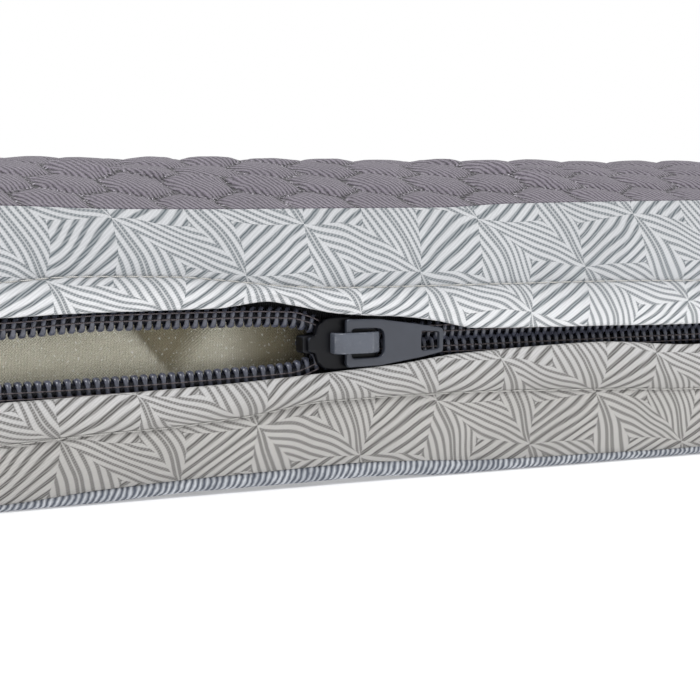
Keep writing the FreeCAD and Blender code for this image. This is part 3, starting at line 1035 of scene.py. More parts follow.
@dataclass(frozen=True)
class SleeveCloth(Finish):
    """The foam's shiny knit sleeve: cream, with painted glints and glossier spots where its yarn turns, and
    painted shade in a crease and by the slider.
    """

    light: tuple[int, int, int] = (226, 222, 204)
    dark: tuple[int, int, int] = (190, 184, 160)
    # Colour of the painted shade in the crease and by the slider.
    painted_shade: tuple[int, int, int] = (122, 108, 70)
    # Colour of the painted glints.
    painted_glint: tuple[int, int, int] = (250, 249, 240)

    def dress(self, n: Nodes, shader: bpy.types.Node) -> None:
        """Knits upright wales, mixes in painted shade from the cloth mark and scatters painted glints.

        Args:
            n: the material's nodes.
            shader: its surface shader.
        """
        cloth = self.cloth(n)
        wale = n.effect(RIBS, Cloth=cloth, Pitch=0.7, Turn=0.06, Waver=0.5)
        tone = n.effect(MOTTLE, Place=cloth, Broad=0.12, Fine=2.0)
        lit = n.math("MULTIPLY_ADD", wale.outputs["Rib"], 0.4, 0.5)
        base = n.mix(lit, colour(*self.dark), colour(*self.light))
        base = n.mix(n.math("MULTIPLY", tone.outputs["Tone"], 0.35), base, colour(*self.dark))
        # Painted shade in the sleeve's crease and in the zip's mouth by the slider.
        base = n.mix(n.between(self.mark(n, cloth), 0.0, 2.4, 0.0, 0.74), base, colour(*self.painted_shade))
        # Painted glints: near-white specks in the base colour, which are also made glossier.
        squeezed = n.vector("MULTIPLY", cloth, (1.0, 0.7, 0.0))
        painted_glint = n.between(n.noise(squeezed, 1.7, 1.0).outputs["Fac"], 0.66, 0.69)
        lively = n.mix(n.math("MULTIPLY", painted_glint, 0.85), base, colour(*self.painted_glint))
        n.feed(shader.inputs["Base Color"], lively)
        n.feed(shader.inputs["Roughness"], n.math("MULTIPLY_ADD", painted_glint, -0.4, self.rough))
        self.relief(n, shader, n.math("ADD", wale.outputs["Stitches"], tone.outputs["Grain"]), 0.3, 0.8)


@dataclass(frozen=True)
class Foam(Finish):
    """Open foam or wadding: a plain tone full of small cells."""

    tone: tuple[int, int, int] = (230, 225, 208)
    cell: float = 1.1

    def dress(self, n: Nodes, shader: bpy.types.Node) -> None:
        """Opens cells in the surface.

        Args:
            n: the material's nodes.
            shader: its surface shader.
        """
        place = self.place(n)
        cells = n.add("TexVoronoi")
        n.feed(cells.inputs["Vector"], place)
        cells.inputs["Scale"].default_value = 1 / self.cell
        tone = n.effect(MOTTLE, Place=place, Broad=0.02, Fine=0.8)
        broad = n.math("MULTIPLY_ADD", tone.outputs["Tone"], 0.3, 0.9)
        share = n.math("MULTIPLY_ADD", cells.outputs["Distance"], -0.5, broad)
        deep = colour(*(v * 2 // 3 for v in self.tone))
        n.feed(shader.inputs["Base Color"], n.mix(share, deep, colour(*self.tone)))
        self.relief(n, shader, cells.outputs["Distance"], 0.4, 0.8)


@dataclass(frozen=True)
class Hard(Finish):
    """Enamel, uncoated metal or nylon, a little uneven, and paler at its edges from rubbing and painted
    highlight.
    """

    tone: tuple[int, int, int] = (70, 74, 84)
    bare_and_highlight: tuple[int, int, int] = (140, 144, 152)
    metal: float = 0.0
    rub_and_highlight: float = 0.5
    grain: float = 0.8

    def dress(self, n: Nodes, shader: bpy.types.Node) -> None:
        """Mottles the coat, pales its edges by rubbing and painted highlight, and varies its gloss.

        Args:
            n: the material's nodes.
            shader: its surface shader.
        """
        place = self.place(n)
        tone = n.effect(MOTTLE, Place=place, Broad=0.2, Fine=9.0)
        # Sharp edges pale towards the second colour: partly rubbing, partly painted highlight.
        rubbed_and_lit = n.math("MULTIPLY", n.effect(RUB_AND_HIGHLIGHT, Place=place).outputs["Rubbed and lit"], self.rub_and_highlight)
        dull = colour(*(v * 4 // 5 for v in self.tone))
        base = n.mix(n.math("MULTIPLY", tone.outputs["Tone"], 0.3), colour(*self.tone), dull)
        n.feed(shader.inputs["Base Color"], n.mix(rubbed_and_lit, base, colour(*self.bare_and_highlight)))
        shader.inputs["Metallic"].default_value = self.metal
        gloss = n.math("MULTIPLY_ADD", tone.outputs["Grain"], 0.16, self.rough - 0.08)
        n.feed(shader.inputs["Roughness"], gloss)
        self.relief(n, shader, tone.outputs["Grain"], 0.03 * self.grain, 0.6)


UPPER_PRINT = PrintedCloth("upper border print", sheen=0.15)
# A darker, warmer copy of the upper print for the lower band and its lip: painted shade with painted warm
# bounce light.
SHADED_LOWER_PRINT = PrintedCloth(
    "lower border print in painted shade", ground=(200, 198, 195), ink=(80, 78, 75), edge=(226, 227, 232), sheen=0.15,
)
QUILT = QuiltKnit("quilt knit", rough=0.9, sheen=0.25)
WELT = Ribbed("piping cloth", light=(218, 222, 228), dark=(84, 90, 102), pitch=1.45, turn=0.3, depth=0.4)
CORD = Ribbed("piping cord yarn", light=(226, 222, 212), dark=(170, 166, 156), pitch=0.9, turn=0.6)
BASE = Ribbed("underside cloth", light=(188, 189, 192), dark=(120, 122, 127), pitch=1.6, turn=0.78)
SCRIM = Ribbed("backing scrim", light=(236, 236, 234), dark=(188, 188, 186), pitch=0.9)
TAPE = Ribbed(
    "zip tape weave", rough=0.75, light=(46, 46, 52), dark=(16, 16, 19), pitch=0.55, turn=0.0,
    depth=0.2,
)
YARN = Ribbed("filler yarn", rough=0.7, light=(60, 62, 70), dark=(26, 27, 32), pitch=0.5, turn=0.7)
LADDER = Ribbed(
    "coil sewing thread", rough=0.5, light=(138, 128, 130), dark=(74, 68, 72), pitch=0.3, turn=0.7,
    depth=0.05,
)
THREAD = Ribbed(
    "sewing thread", rough=0.6, light=(238, 237, 233), dark=(184, 182, 178), pitch=0.35, turn=0.7,
    depth=0.1,
)
LABEL = Ribbed(
    "label satin", rough=0.5, light=(244, 243, 240), dark=(214, 213, 210), pitch=0.4, depth=0.06,
)
SLEEVE = SleeveCloth("foam sleeve knit", rough=0.6, sheen=0.2)
BASE_FOAM = Foam("support foam")
MEMORY_FOAM = Foam("memory foam", tone=(236, 230, 196), cell=0.8)
WADDING = Foam("quilt wadding", tone=(240, 240, 238), cell=2.4)
# Each hard finish pales its sharp edges towards its second colour. On the enamels and the stop metal that
# is partly rubbing and partly painted highlight; on the zip nylon it is painted highlight only.
NYLON = Hard(
    "zip nylon", rough=0.2, coat=0.7, tone=(36, 39, 52), bare_and_highlight=(134, 138, 156), rub_and_highlight=0.5, grain=0.4,
)
ENAMEL = Hard("slider enamel", rough=0.36, shine=0.25, tone=(13, 14, 19), bare_and_highlight=(104, 110, 124), rub_and_highlight=0.8)
CROWN_ENAMEL = Hard(
    "crown enamel", rough=0.26, coat=0.25, tone=(86, 91, 102), bare_and_highlight=(196, 200, 208), rub_and_highlight=0.8,
)
PULL_ENAMEL = Hard(
    "pull enamel", rough=0.32, coat=0.15, tone=(60, 64, 74), bare_and_highlight=(140, 146, 158), rub_and_highlight=0.8,
)
STEEL = Hard("stop metal", rough=0.34, tone=(120, 122, 126), bare_and_highlight=(200, 202, 206), metal=0.9)


# ---------------------------------------------------------------- the mattress's places

SLEEVE_LOW, SLEEVE_HIGH = node_box("inner_sleeve")
SLIDER_LOW, SLIDER_HIGH = node_box("slider_body")
COIL_LOW, COIL_HIGH = node_box("zip_coil_upper")
FRONT = SLEEVE_LOW[1]
BAND_END = node_box("upper_border_front")[1][0]

# The sleeve's corner radius, and the half sides of the rectangle that joins the corners' centres.
CORNER = 49.0
CORE = (SLEEVE_HIGH[0] - CORNER, SLEEVE_HIGH[1] - CORNER)

# The slider's nose stands this far left of its middle, which lies on the zip's level.
NOSE = 8.5
SLIDER_X = SLIDER_LOW[0] + NOSE
ZIP_Z = (SLIDER_LOW[2] + SLIDER_HIGH[2]) / 2

# How far the top seam stands out from the sleeve, and the heights between which the border
# hangs round the ends and the back.
SEAM_OUT = 2.0
WRAP_FOOT, WRAP_TOP = 4.2, 63.9

# The stretch of the front edge that is modelled most finely.
FOCUS = (SLIDER_X - 90.0, SLIDER_X + 125.0)


def front_line(*points: tuple[float, float]) -> Curve:
    """A curve along the front edge, from places measured from the slider."""
    return Curve(tuple((SLIDER_X + u, z) for u, z in points))


# Heights of the front edge's lines. The lips and the coils' tips stand apart left of the slider
# and close together right of it.
TOP_SEAM = front_line(
    (-320, 63.8), (-110, 64.6), (-77, 64.3), (-50, 63.4), (-20, 63.2), (30, 63.2), (50, 64.0),
    (110, 64.5), (400, 63.8),
)
UPPER_STITCH = front_line(
    (-322, 45.9), (-250, 47.4), (-110, 48.0), (-80, 48.6), (-65, 49.4), (-40, 48.8), (-30, 47.9),
    (-10, 45.9), (7, 45.4), (72, 45.2), (110, 44.6), (500, 45.6),
)
UPPER_LIP = front_line(
    (-322, 35.2), (-290, 37.4), (-245, 40.4), (-110, 40.8), (-81, 41.2), (-59, 41.7), (-31, 41.7),
    (-19, 42.9), (-12, 41.8), (-1, 39.7), (8, 38.9), (15, 38.5), (25, 37.2), (36, 35.1), (71, 34.4),
    (101, 33.9), (1441, 34.1),
)
LOWER_LIP = front_line(
    (-322, 30.2), (-290, 27.2), (-245, 23.8), (-110, 23.4), (-81, 23.7), (-59, 24.2), (-26, 25.2),
    (-11, 26.0), (-1, 26.6), (15, 27.6), (31, 29.3), (71, 30.5), (101, 28.8), (160, 30.3), (1441, 30.6),
)
LOWER_STITCH = front_line(
    (-322, 19.4), (-250, 15.6), (-110, 14.2), (-80, 14.8), (-58, 15.9), (-44, 16.2), (-23, 17.7),
    (-3, 20.0), (23, 20.2), (72, 18.9), (103, 17.6), (180, 19.2), (1441, 19.6),
)
WELT_TOP = front_line(
    (-322, 4.2), (-250, 2.6), (-110, 1.9), (-79, 2.0), (-57, 3.5), (-33, 4.4), (-21, 4.6), (5, 5.1),
    (23, 4.5), (46, 3.3), (75, 2.8), (103, 2.4), (200, 3.9), (1441, 4.2),
)
WELT_FOOT = front_line((-79, 0.05), (-57, 0.2), (-33, 0.9), (-10, 0.9), (8, 1.1), (20, 0.7), (32, 0.1))
UPPER_TIPS = front_line(
    (-288, 33.0), (-248, 36.4), (-79, 36.2), (-57, 37.1), (-24, 36.9), (-11, 36.4), (-5, 34.8),
    (0, 32.1),
)
LOWER_TIPS = front_line(
    (-288, 32.4), (-248, 28.6), (-79, 27.5), (-57, 27.6), (-24, 28.3), (-11, 28.8), (-5, 30.4),
    (0, 33.3),
)


def front_y(out: Array) -> Array:
    """Depth of a point that stands some distance out from the sleeve's front face."""
    return FRONT - out


class Hexagons:
    """The quilt's hexagons, with two sides square to the long edge."""

    width = 16.0

    @classmethod
    def at(cls, x: Array, y: Array) -> Array:
        """How near each place is to its hexagon's seam.

        Args:
            x: places along the mattress.
            y: places across it.

        Returns:
            Numbers from 0 at a hexagon's middle to 1 on its seam.
        """
        row_gap = cls.width * math.sqrt(3) / 2
        r = y / row_gap
        q = x / cls.width - r / 2
        s = -q - r
        rq, rr, rs = np.round(q), np.round(r), np.round(s)
        dq, dr, ds = abs(rq - q), abs(rr - r), abs(rs - s)
        fix_q = (dq > dr) & (dq > ds)
        fix_r = ~fix_q & (dr > ds)
        rq = np.where(fix_q, -rr - rs, rq)
        rr = np.where(fix_r, -rq - rs, rr)
        dx = x - (rq + rr / 2) * cls.width
        dy = y - rr * row_gap
        half = cls.width / 2
        lean = math.sqrt(3) / 2
        return np.maximum.reduce([abs(dx), abs(dx / 2 + dy * lean), abs(dx / 2 - dy * lean)]) / half


@dataclass
class TopPanel:
    """The quilted knit top: a long soft dome up from the border seam, and hexagon pillows."""

    dome: float = 51.0
    crown: float = 74.4
    roundness: float = 1.75
    puff: float = 1.4
    swell: float = 0.5
    bow: float = 0.5
    fold_width: float = 3.2
    folds: tuple[tuple[float, float, float, float, float], ...] = (
        (52.0, 44.0, 74.0, 12.0, 1.1), (-74.0, 40.0, 2.0, 13.0, 1.0), (-40.0, 50.0, 44.0, 33.0, 0.8),
    )

    def ridges(self, x: Array, y: Array) -> Array:
        """Height of the long soft folds near the slider, each from one place to another.

        Args:
            x: places along the mattress.
            y: places across it.

        Returns:
            The height at each place.
        """
        total = np.zeros(np.broadcast(x, y).shape)
        for u1, in1, u2, in2, rise in self.folds:
            start = np.array([SLIDER_X + u1, FRONT - SEAM_OUT + in1])
            end = np.array([SLIDER_X + u2, FRONT - SEAM_OUT + in2])
            way = (end - start) / np.linalg.norm(end - start)
            along = (x - start[0]) * way[0] + (y - start[1]) * way[1]
            across = (x - start[0]) * way[1] - (y - start[1]) * way[0] + 1.5 * np.sin(along / 9)
            share = np.clip(along / np.linalg.norm(end - start), 0, 1)
            crest = np.sin(math.pi * np.clip(share, 0.02, 0.98)) ** 0.5
            total += rise * np.exp(-((across / self.fold_width) ** 2)) * crest
        return total

    def height(self, inset: Array, seam: Array) -> Array:
        """Level of the smooth panel.

        Args:
            inset: distance in from its seam.
            seam: level of the seam.

        Returns:
            The level at each distance.
        """
        left = np.clip(1 - inset / self.dome, 0, 1)
        return self.crown - (self.crown - seam) * left**self.roundness

    def relief(self, x: Array, y: Array, inset: Array) -> tuple[Array, Array]:
        """Pillows and folds over the smooth panel.

        Args:
            x: places along the mattress.
            y: places across it.
            inset: distance in from the border's seam.

        Returns:
            Their height, and how near each place is to a quilting seam.
        """
        bent_x = x + ripple(x, y, 60, 3) * 1.2
        bent_y = y + ripple(x, y, 60, 4) * 1.2
        near = Hexagons.at(bent_x, bent_y)
        fade = np.clip(inset / 5, 0, 1)
        pillow = (1 - near**3.4) * self.puff
        waves = ripple(x, y, 85, 5) * self.swell + ripple(x, y, 30, 6) * 0.5 * self.swell
        waves = waves + self.ridges(x, y)
        return (pillow - self.puff * 0.65 + waves) * fade, np.clip((near - 0.7) / 0.3, 0, 1)

    def build(self) -> bpy.types.Object:
        """Makes the panel.

        Returns:
            The dressed panel.
        """
        xs = graded(-CORE[0], CORE[0], FOCUS, 1.0, 3.3)
        ys = graded(-CORE[1], CORE[1], (-CORE[1], -CORE[1] + 12), 1.5, 3.3)
        stations = Stations(CORE, xs, ys, 22)
        seam = np.full(len(stations.foot), WRAP_TOP - 0.1)
        seam[: stations.front] = TOP_SEAM(xs)
        span = CORNER + SEAM_OUT
        inset = np.concatenate([[0.0, 0.3, 0.8], np.linspace(1.5, span, 40)])
        level = self.height(inset[None, :], seam[:, None])
        arc = np.concatenate([[0.0], np.cumsum(np.hypot(np.diff(inset), np.diff(level[0])))])
        reach = np.broadcast_to(span - inset, level.shape)
        cloth = stations.foot[:, None, :] + stations.out[:, None, :] * (arc[-1] - arc)[None, :, None]
        lift, near = self.relief(cloth[..., 0], cloth[..., 1], inset[None, :])
        cloth[..., 0] -= self.bow * lift
        tilt = 0.45 * np.clip(1 - inset / span, 0, 1)
        edge = 0.5 * np.exp(-inset / 1.2) * (inset > 0)
        rim = stations.points(reach + lift * tilt + edge, level + lift * np.sqrt(1 - tilt**2))
        x, y = np.meshgrid(xs, ys, indexing="ij")
        core_lift, core_near = self.relief(x, y, np.full(x.shape, span))
        core = np.stack([x, y, self.crown + core_lift], -1)
        core_cloth = np.stack([x - self.bow * core_lift, y, core_near], -1)
        pile = Pile()
        pile.sheet(rim, np.concatenate([cloth, near[..., None]], 2), [(core, core_cloth, False)])
        panel = settle(pile.piece("quilted_top"), QUILT.material(), ["top_knit_panel"])
        return panel


@dataclass
class Underside:
    """The plain cloth underneath, which rests flat with slight hollows."""

    rest: float = 0.15
    hollow: float = 0.5

    def build(self) -> bpy.types.Object:
        """Makes the underside.

        Returns:
            The dressed cloth.
        """
        xs = np.linspace(-CORE[0], CORE[0], 200)
        ys = np.linspace(-CORE[1], CORE[1], 95)
        stations = Stations(CORE, xs, ys, 10)
        reach = np.array([CORNER + 0.4, CORNER - 1, CORNER - 4, CORNER - 10, 20, 8, 0.0])
        level = np.array([1.6, 0.9, 0.4, 0.25, 0.2, 0.15, 0.15])
        shape = (len(stations.foot), len(reach))
        rim = stations.points(np.broadcast_to(reach, shape), np.broadcast_to(level, shape))
        x, y = np.meshgrid(xs, ys, indexing="ij")
        core = np.stack([x, y, self.rest + self.hollow * np.clip(ripple(x, y, 60, 8), 0, 1)], -1)
        pile = Pile()
        rim_cloth = np.concatenate([rim[..., :2], np.zeros_like(rim[..., :1])], 2)
        pile.grid(rim, rim_cloth, closed_rows=True, flip=True)
        pile.grid(core, np.stack([x, y, x * 0], -1), flip=True)
        cloth = settle(pile.piece("underside"), BASE.material(), ["bottom_panel"])
        return cloth


class Side(Enum):
    """Which band of the zipped front edge a piece belongs to."""

    UPPER = "upper"
    LOWER = "lower"


# Where the print starts on each band, the height of a band's topstitching, and how far a
# stitch pulls the cloth in.
PRINT_LEVEL = 60.4
PRINT_STEP = 1.7
PRINT_SHIFT = {Side.UPPER: 7.0, Side.LOWER: 21.0}
STITCH_SINK = 0.35


@dataclass
class FrontBand:
    """One printed band of the front edge, from its seam to its topstitching."""

    side: Side
    stitch_out: float = 9.0
    rows: int = 30

    def levels(self, x: Array) -> tuple[Array, Array]:
        """Heights of the band's two edges.

        Args:
            x: places along the edge.

        Returns:
            Heights of the outer seam and of the topstitching.
        """
        if self.side is Side.UPPER:
            return TOP_SEAM(x), UPPER_STITCH(x)
        return WELT_TOP(x) - 0.4, LOWER_STITCH(x)

    def build(self) -> bpy.types.Object:
        """Makes the band.

        Returns:
            The dressed band.
        """
        upper = self.side is Side.UPPER
        xs = graded(-BAND_END, BAND_END, FOCUS, 0.9, 6.0)
        t = np.linspace(0, 1, self.rows)[None, :]
        seam, stitch = (v[:, None] for v in self.levels(xs))
        z = seam + (stitch - seam) * t
        inner = SEAM_OUT if upper else 4.4
        arch = 1 - (1 - t) ** 2.1
        full = 1.1 * np.sin(math.pi * t**1.4) * (0.9 if upper else 0.8)
        out = inner + (self.stitch_out - STITCH_SINK - inner) * arch + full
        x = np.broadcast_to(xs[:, None], z.shape)
        pucker = ripple(x, z * 0.35, 13, 11) * 0.30 * np.sin(math.pi * np.clip(t * 1.05, 0, 1)) ** 0.5
        tucks = ripple(x, z * 0.1, 7, 12) * 0.22 * np.exp(-(((1 - t) / 0.16) ** 2))
        roll = ripple(x, z, 46, 13) * 0.35 * np.sin(math.pi * t)
        points = np.stack([x, front_y(out + pucker + tucks + roll), z], -1)
        run = z - PRINT_LEVEL if upper else z - stitch + PRINT_STEP
        cloth = np.stack([x - SLIDER_X + PRINT_SHIFT[self.side], run, np.zeros_like(z)], -1)
        pile = Pile()
        pile.grid(points, cloth, flip=upper)
        finish = UPPER_PRINT if upper else SHADED_LOWER_PRINT
        node = f"{self.side.value}_border_front"
        band = settle(pile.piece(f"{self.side.value}_band"), finish.material(), [node])
        return band


@dataclass
class Lip:
    """The folded edge of a band, between its topstitching and the zip."""

    side: Side
    stitch_out: float = 9.0
    bulge: float = 1.75
    fold: float = 1.1
    inner_out: float = 7.9
    return_length: float = 4.5
    limit: float = 10.95
    keep: float = 0.55

    def build(self) -> bpy.types.Object:
        """Makes the lip.

        Returns:
            The dressed lip.
        """
        upper = self.side is Side.UPPER
        way = -1.0 if upper else 1.0
        xs = graded(-BAND_END, BAND_END, FOCUS, 0.9, 6.0)
        stitch = (UPPER_STITCH if upper else LOWER_STITCH)(xs)[:, None]
        edge = (UPPER_LIP if upper else LOWER_LIP)(xs)[:, None]
        bend = edge - way * self.fold
        # The face swells from the stitching to the zip, turns over its fold and runs back inside.
        t = np.linspace(0, 1, 16)[None, :]
        face_z = stitch + (bend - stitch) * t
        face_out = self.stitch_out - STITCH_SINK + (self.bulge * np.sin(math.pi * t**0.8) ** 0.8 + 1.45 * t)
        turn = np.linspace(0, math.pi, 9)[None, 1:]
        end_out = self.stitch_out + self.fold
        fold_z = bend + way * self.fold * np.sin(turn)
        fold_out = end_out - self.fold * (1 - np.cos(turn))
        back = np.linspace(0, 1, 6)[None, 1:]
        back_z = bend - way * self.return_length * back
        back_out = fold_out[:, -1:] + (self.inner_out - fold_out[0, -1]) * back
        back_out = np.broadcast_to(back_out, back_z.shape)
        # Two hidden rows tuck the cloth under the band before the stitching.
        hidden_z = stitch - way * np.array([[2.5, 1.0]])
        hidden_out = np.broadcast_to(np.array([[7.4, 8.1]]), hidden_z.shape)
        tile = np.ones_like(stitch)
        z = np.concatenate([hidden_z, face_z, fold_z, back_z], 1)
        out = np.concatenate([hidden_out, face_out * tile, fold_out * tile, back_out], 1)
        x = np.broadcast_to(xs[:, None], z.shape)
        share = np.concatenate([np.zeros((1, 2)), t, np.ones((1, 8)), 1 - back], 1) * tile
        wave = ripple(x, z * 0.2, 17, 21 if upper else 22) * 0.32 + ripple(x, z * 0.1, 6, 23) * 0.1
        out = out + wave * np.sin(math.pi * np.clip(share * 0.5 + 0.08, 0, 0.6)) * 0.8
        points = np.stack([x, front_y(np.minimum(out, self.limit)), z], -1)
        steps = (np.diff(v, axis=1, prepend=v[:, :1]) for v in (z, out))
        run = np.cumsum(np.hypot(*steps), 1)
        run = run - run[:, 2:3]
        along = x - SLIDER_X + PRINT_SHIFT[self.side]
        down = (stitch - PRINT_LEVEL) - run if upper else PRINT_STEP + run
        # The third number paints a highlight that pales the lip towards its fold, weaker on the lower lip.
        cloth = np.stack([along, down, share * (0.85 if upper else 0.3)], -1)
        pile = Pile()
        pile.grid(points, cloth, flip=upper)
        finish = UPPER_PRINT if upper else SHADED_LOWER_PRINT
        lip = settle(pile.piece(f"{self.side.value}_lip"), finish.material(), [])
        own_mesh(lip)
        return lip


@dataclass
class BorderWrap:
    """The border round both ends and the back, sewn to the front bands at two upright seams."""

    profile: Curve = Curve(
        (
            (WRAP_FOOT, 4.2), (8, 6.4), (14, 8.6), (22, 10.2), (32, 10.8), (42, 10.3), (52, 8.3),
            (59, 5.2), (WRAP_TOP, 2.0),
        )
    )
    rows: int = 34
    fullness: float = 0.35

    def ring(self) -> tuple[Array, Array, Array]:
        """Places from one upright seam to the other, round the back.

        Returns:
            The foot, outward direction and travel of each place.
        """
        xs = np.linspace(-CORE[0], CORE[0], 330)
        ys = np.linspace(-CORE[1], CORE[1], 160)
        stations = Stations(CORE, xs, ys, 20)
        hem, past = BAND_END - 1.0, BAND_END + 4
        start = np.array([[hem, -CORE[1]], [past, -CORE[1]]])
        end = start * np.array([-1.0, 1.0])
        first = stations.front - 1
        foot = np.concatenate([start, stations.foot[first:], stations.foot[:1], end[::-1]])
        down = np.array([[0.0, -1.0]])
        out = np.concatenate([down, down, stations.out[first:], down, down, down])
        at = foot + out * CORNER
        run = np.concatenate([[0.0], np.cumsum(np.linalg.norm(np.diff(at, axis=0), axis=1))])
        return foot, out, run

    def build(self) -> bpy.types.Object:
        """Makes the wrap.

        Returns:
            The dressed wrap.
        """
        foot, out, run = self.ring()
        z = np.linspace(WRAP_FOOT, WRAP_TOP, self.rows)
        bulge = self.profile(z)[None, :]
        s, zz = np.meshgrid(run, z, indexing="ij")
        soft = np.sin(math.pi * (z - WRAP_FOOT) / (WRAP_TOP - WRAP_FOOT))[None, :]
        tuck = np.exp(-((np.minimum(z - WRAP_FOOT, WRAP_TOP - z) / 3.5) ** 2))[None, :]
        waves = (ripple(s, zz, 70, 31) * self.fullness - self.fullness) * soft
        reach = CORNER + bulge + waves + ripple(s, zz * 0.1, 9, 32) * 0.3 * tuck
        flat = foot[:, None, :] + out[:, None, :] * reach[..., None]
        points = np.concatenate([flat, zz[..., None]], 2)
        pile = Pile()
        pile.grid(points, np.stack([s + 20, zz - PRINT_LEVEL, np.zeros_like(s)], -1))
        made = pile.piece("border_round_ends")
        wrap = settle(made, UPPER_PRINT.material(), ["border_wrap"])
        return wrap


def stitch_run(
    pile: Pile,
    path: Array,
    out: Array,
    pitch: float,
    length: float,
    radius: float,
    sides: int = 6,
) -> None:
    """Adds a row of separate stitches, each a short thread bowed off the cloth.

    Args:
        pile: where they go.
        path: points along the row.
        out: direction off the cloth, for all stitches or at each path point.
        pitch: distance from one stitch to the next.
        length: length of a stitch.
        radius: the thread's radius.
        sides: sides of its section.
    """
    run = np.concatenate([[0.0], np.cumsum(np.linalg.norm(np.diff(path, axis=0), axis=1))])
    out = np.broadcast_to(out, path.shape)
    taper = radius * np.array([0.55, 0.95, 1.0, 0.95, 0.55])
    bow = np.array([-0.6, 0.55, 0.85, 0.55, -0.6]) * radius
    for start in np.arange(pitch * 0.3, run[-1] - length, pitch):
        at = start + length * np.linspace(0, 1, 5)
        spot = np.stack([np.interp(at, run, path[:, k]) for k in range(3)], -1)
        off = np.stack([np.interp(at, run, out[:, k]) for k in range(3)], -1)
        off /= np.linalg.norm(off, axis=1)[:, None]
        side = np.cross(spot[-1] - spot[0], off[2])
        pile.tube(spot + off * bow[:, None], side / np.linalg.norm(side), off, circle(taper, sides))


@dataclass
class Topstitch:
    """The row of thread that holds a band's folded edge down."""

    side: Side
    out: float = 9.05
    pitch: float = 3.4
    length: float = 3.0
    radius: float = 0.16

    def build(self) -> bpy.types.Object:
        """Makes the row.

        Returns:
            The dressed stitches.
        """
        xs = graded(-BAND_END, BAND_END, FOCUS, 3.0, 12.0)
        z = (UPPER_STITCH if self.side is Side.UPPER else LOWER_STITCH)(xs)
        path = np.stack([xs, np.full_like(xs, front_y(self.out)), z], -1)
        pile = Pile()
        stitch_run(pile, path, np.array([0.0, -1.0, 0.0]), self.pitch, self.length, self.radius)
        piece = pile.piece(f"{self.side.value}_topstitch")
        return settle(piece, THREAD.material(), [f"topstitch_{self.side.value}"])


@dataclass
class Welt:
    """The corded piping round the bottom edge, which lifts off the floor near the slider."""

    out: float = 3.0
    radius: float = 2.2
    rib: float = 1.25
    top: float = 4.15
    rest: float = 0.02

    def ring_path(self, fine: float) -> tuple[Array, Array, Array, Array]:
        """The piping's course round the plan.

        Args:
            fine: step between stations near the slider.

        Returns:
            Centre line, outward direction, half height and travel at each station.
        """
        xs = graded(-CORE[0], CORE[0], FOCUS, fine, 7.0)
        ys = np.linspace(-CORE[1], CORE[1], 130)
        stations = Stations(CORE, xs, ys, 20)
        count = len(stations.foot)
        top, foot = np.full(count, self.top), np.full(count, self.rest)
        top[: stations.front] = WELT_TOP(xs)
        foot[: stations.front] = np.maximum(WELT_FOOT(xs), self.rest)
        run = stations.travel(CORNER + self.out)
        top = top + ripple(run, run * 0, 40, 41) * 0.12 - 0.1
        flat = stations.foot + stations.out * (CORNER + self.out)
        centre = np.concatenate([flat, ((top + foot) / 2)[:, None]], 1)
        return centre, stations.out, (top - foot) / 2, run

    def build(self) -> list[bpy.types.Object]:
        """Makes the cover and the cord inside it.

        Returns:
            The dressed cover and cord.
        """
        made = []
        for name, node, finish, slot, inset, sides, fine in (
            ("welt_piping", "welt_cover", WELT, "welt_print", 0.0, 16, 0.42),
            ("welt_core", "welt_cord", CORD, "piping_cord", 0.55, 8, 4.0),
        ):
            centre, out, half, run = self.ring_path(fine)
            angle = np.linspace(-0.94, 0.94, sides) * math.pi
            ribs = 1 + 0.045 * np.sin(run / self.rib * math.tau)[:, None] * (inset == 0)
            across = np.cos(angle)[None, :] * (self.radius - inset) * ribs
            up = np.sin(angle)[None, :] * np.maximum(half - inset, 0.3)[:, None] * ribs
            up = np.maximum(up, -half[:, None])
            flat = centre[:, None, :2] + out[:, None, :] * across[..., None]
            points = np.concatenate([flat, centre[:, None, 2:] + up[..., None]], 2)
            s, around = np.meshgrid(run, angle * self.radius, indexing="ij")
            pile = Pile()
            pile.grid(points, np.stack([s, around, s * 0], -1), closed_rows=True, closed_columns=inset > 0)
            made.append(settle(pile.piece(name), finish.material(), [node]))
        return made


def sleeve_crease_and_shade(u: Array, level: Array) -> tuple[Array, Array]:
    """A slanting crease left of the slider, and a pinch where its nose parts the chain, both darkened with
    painted shade.

    Args:
        u: distance along the front face from the slider's rest place.
        level: height of each ring of points.

    Returns:
        A mark of painted shade that deepens inside the crease and the pinch, and the dent's share of its
        full depth.
    """
    crease_top, crease_foot = 46.5, 27.0
    near_slope, far_slope = 0.87, 0.63
    nose, tail = 27.0, 18.0
    full_mark = 2.4
    middle, half_height = 33, 16
    down = 36 - level
    left_side = u + crease_top - down * near_slope
    right_side = (-crease_foot - down * far_slope - u) * 0.35
    mouth = np.minimum(u + nose, tail - u) * 0.15
    # The mark is painted shade: darker inside the crease and in the zip's mouth by the slider.
    mark = np.maximum(np.minimum(left_side, right_side), mouth)
    share = np.clip(mark / full_mark, 0, 1)
    in_reach = np.exp(-(((level - middle) / half_height) ** 4))
    return mark, share * share * (3 - 2 * share) * in_reach


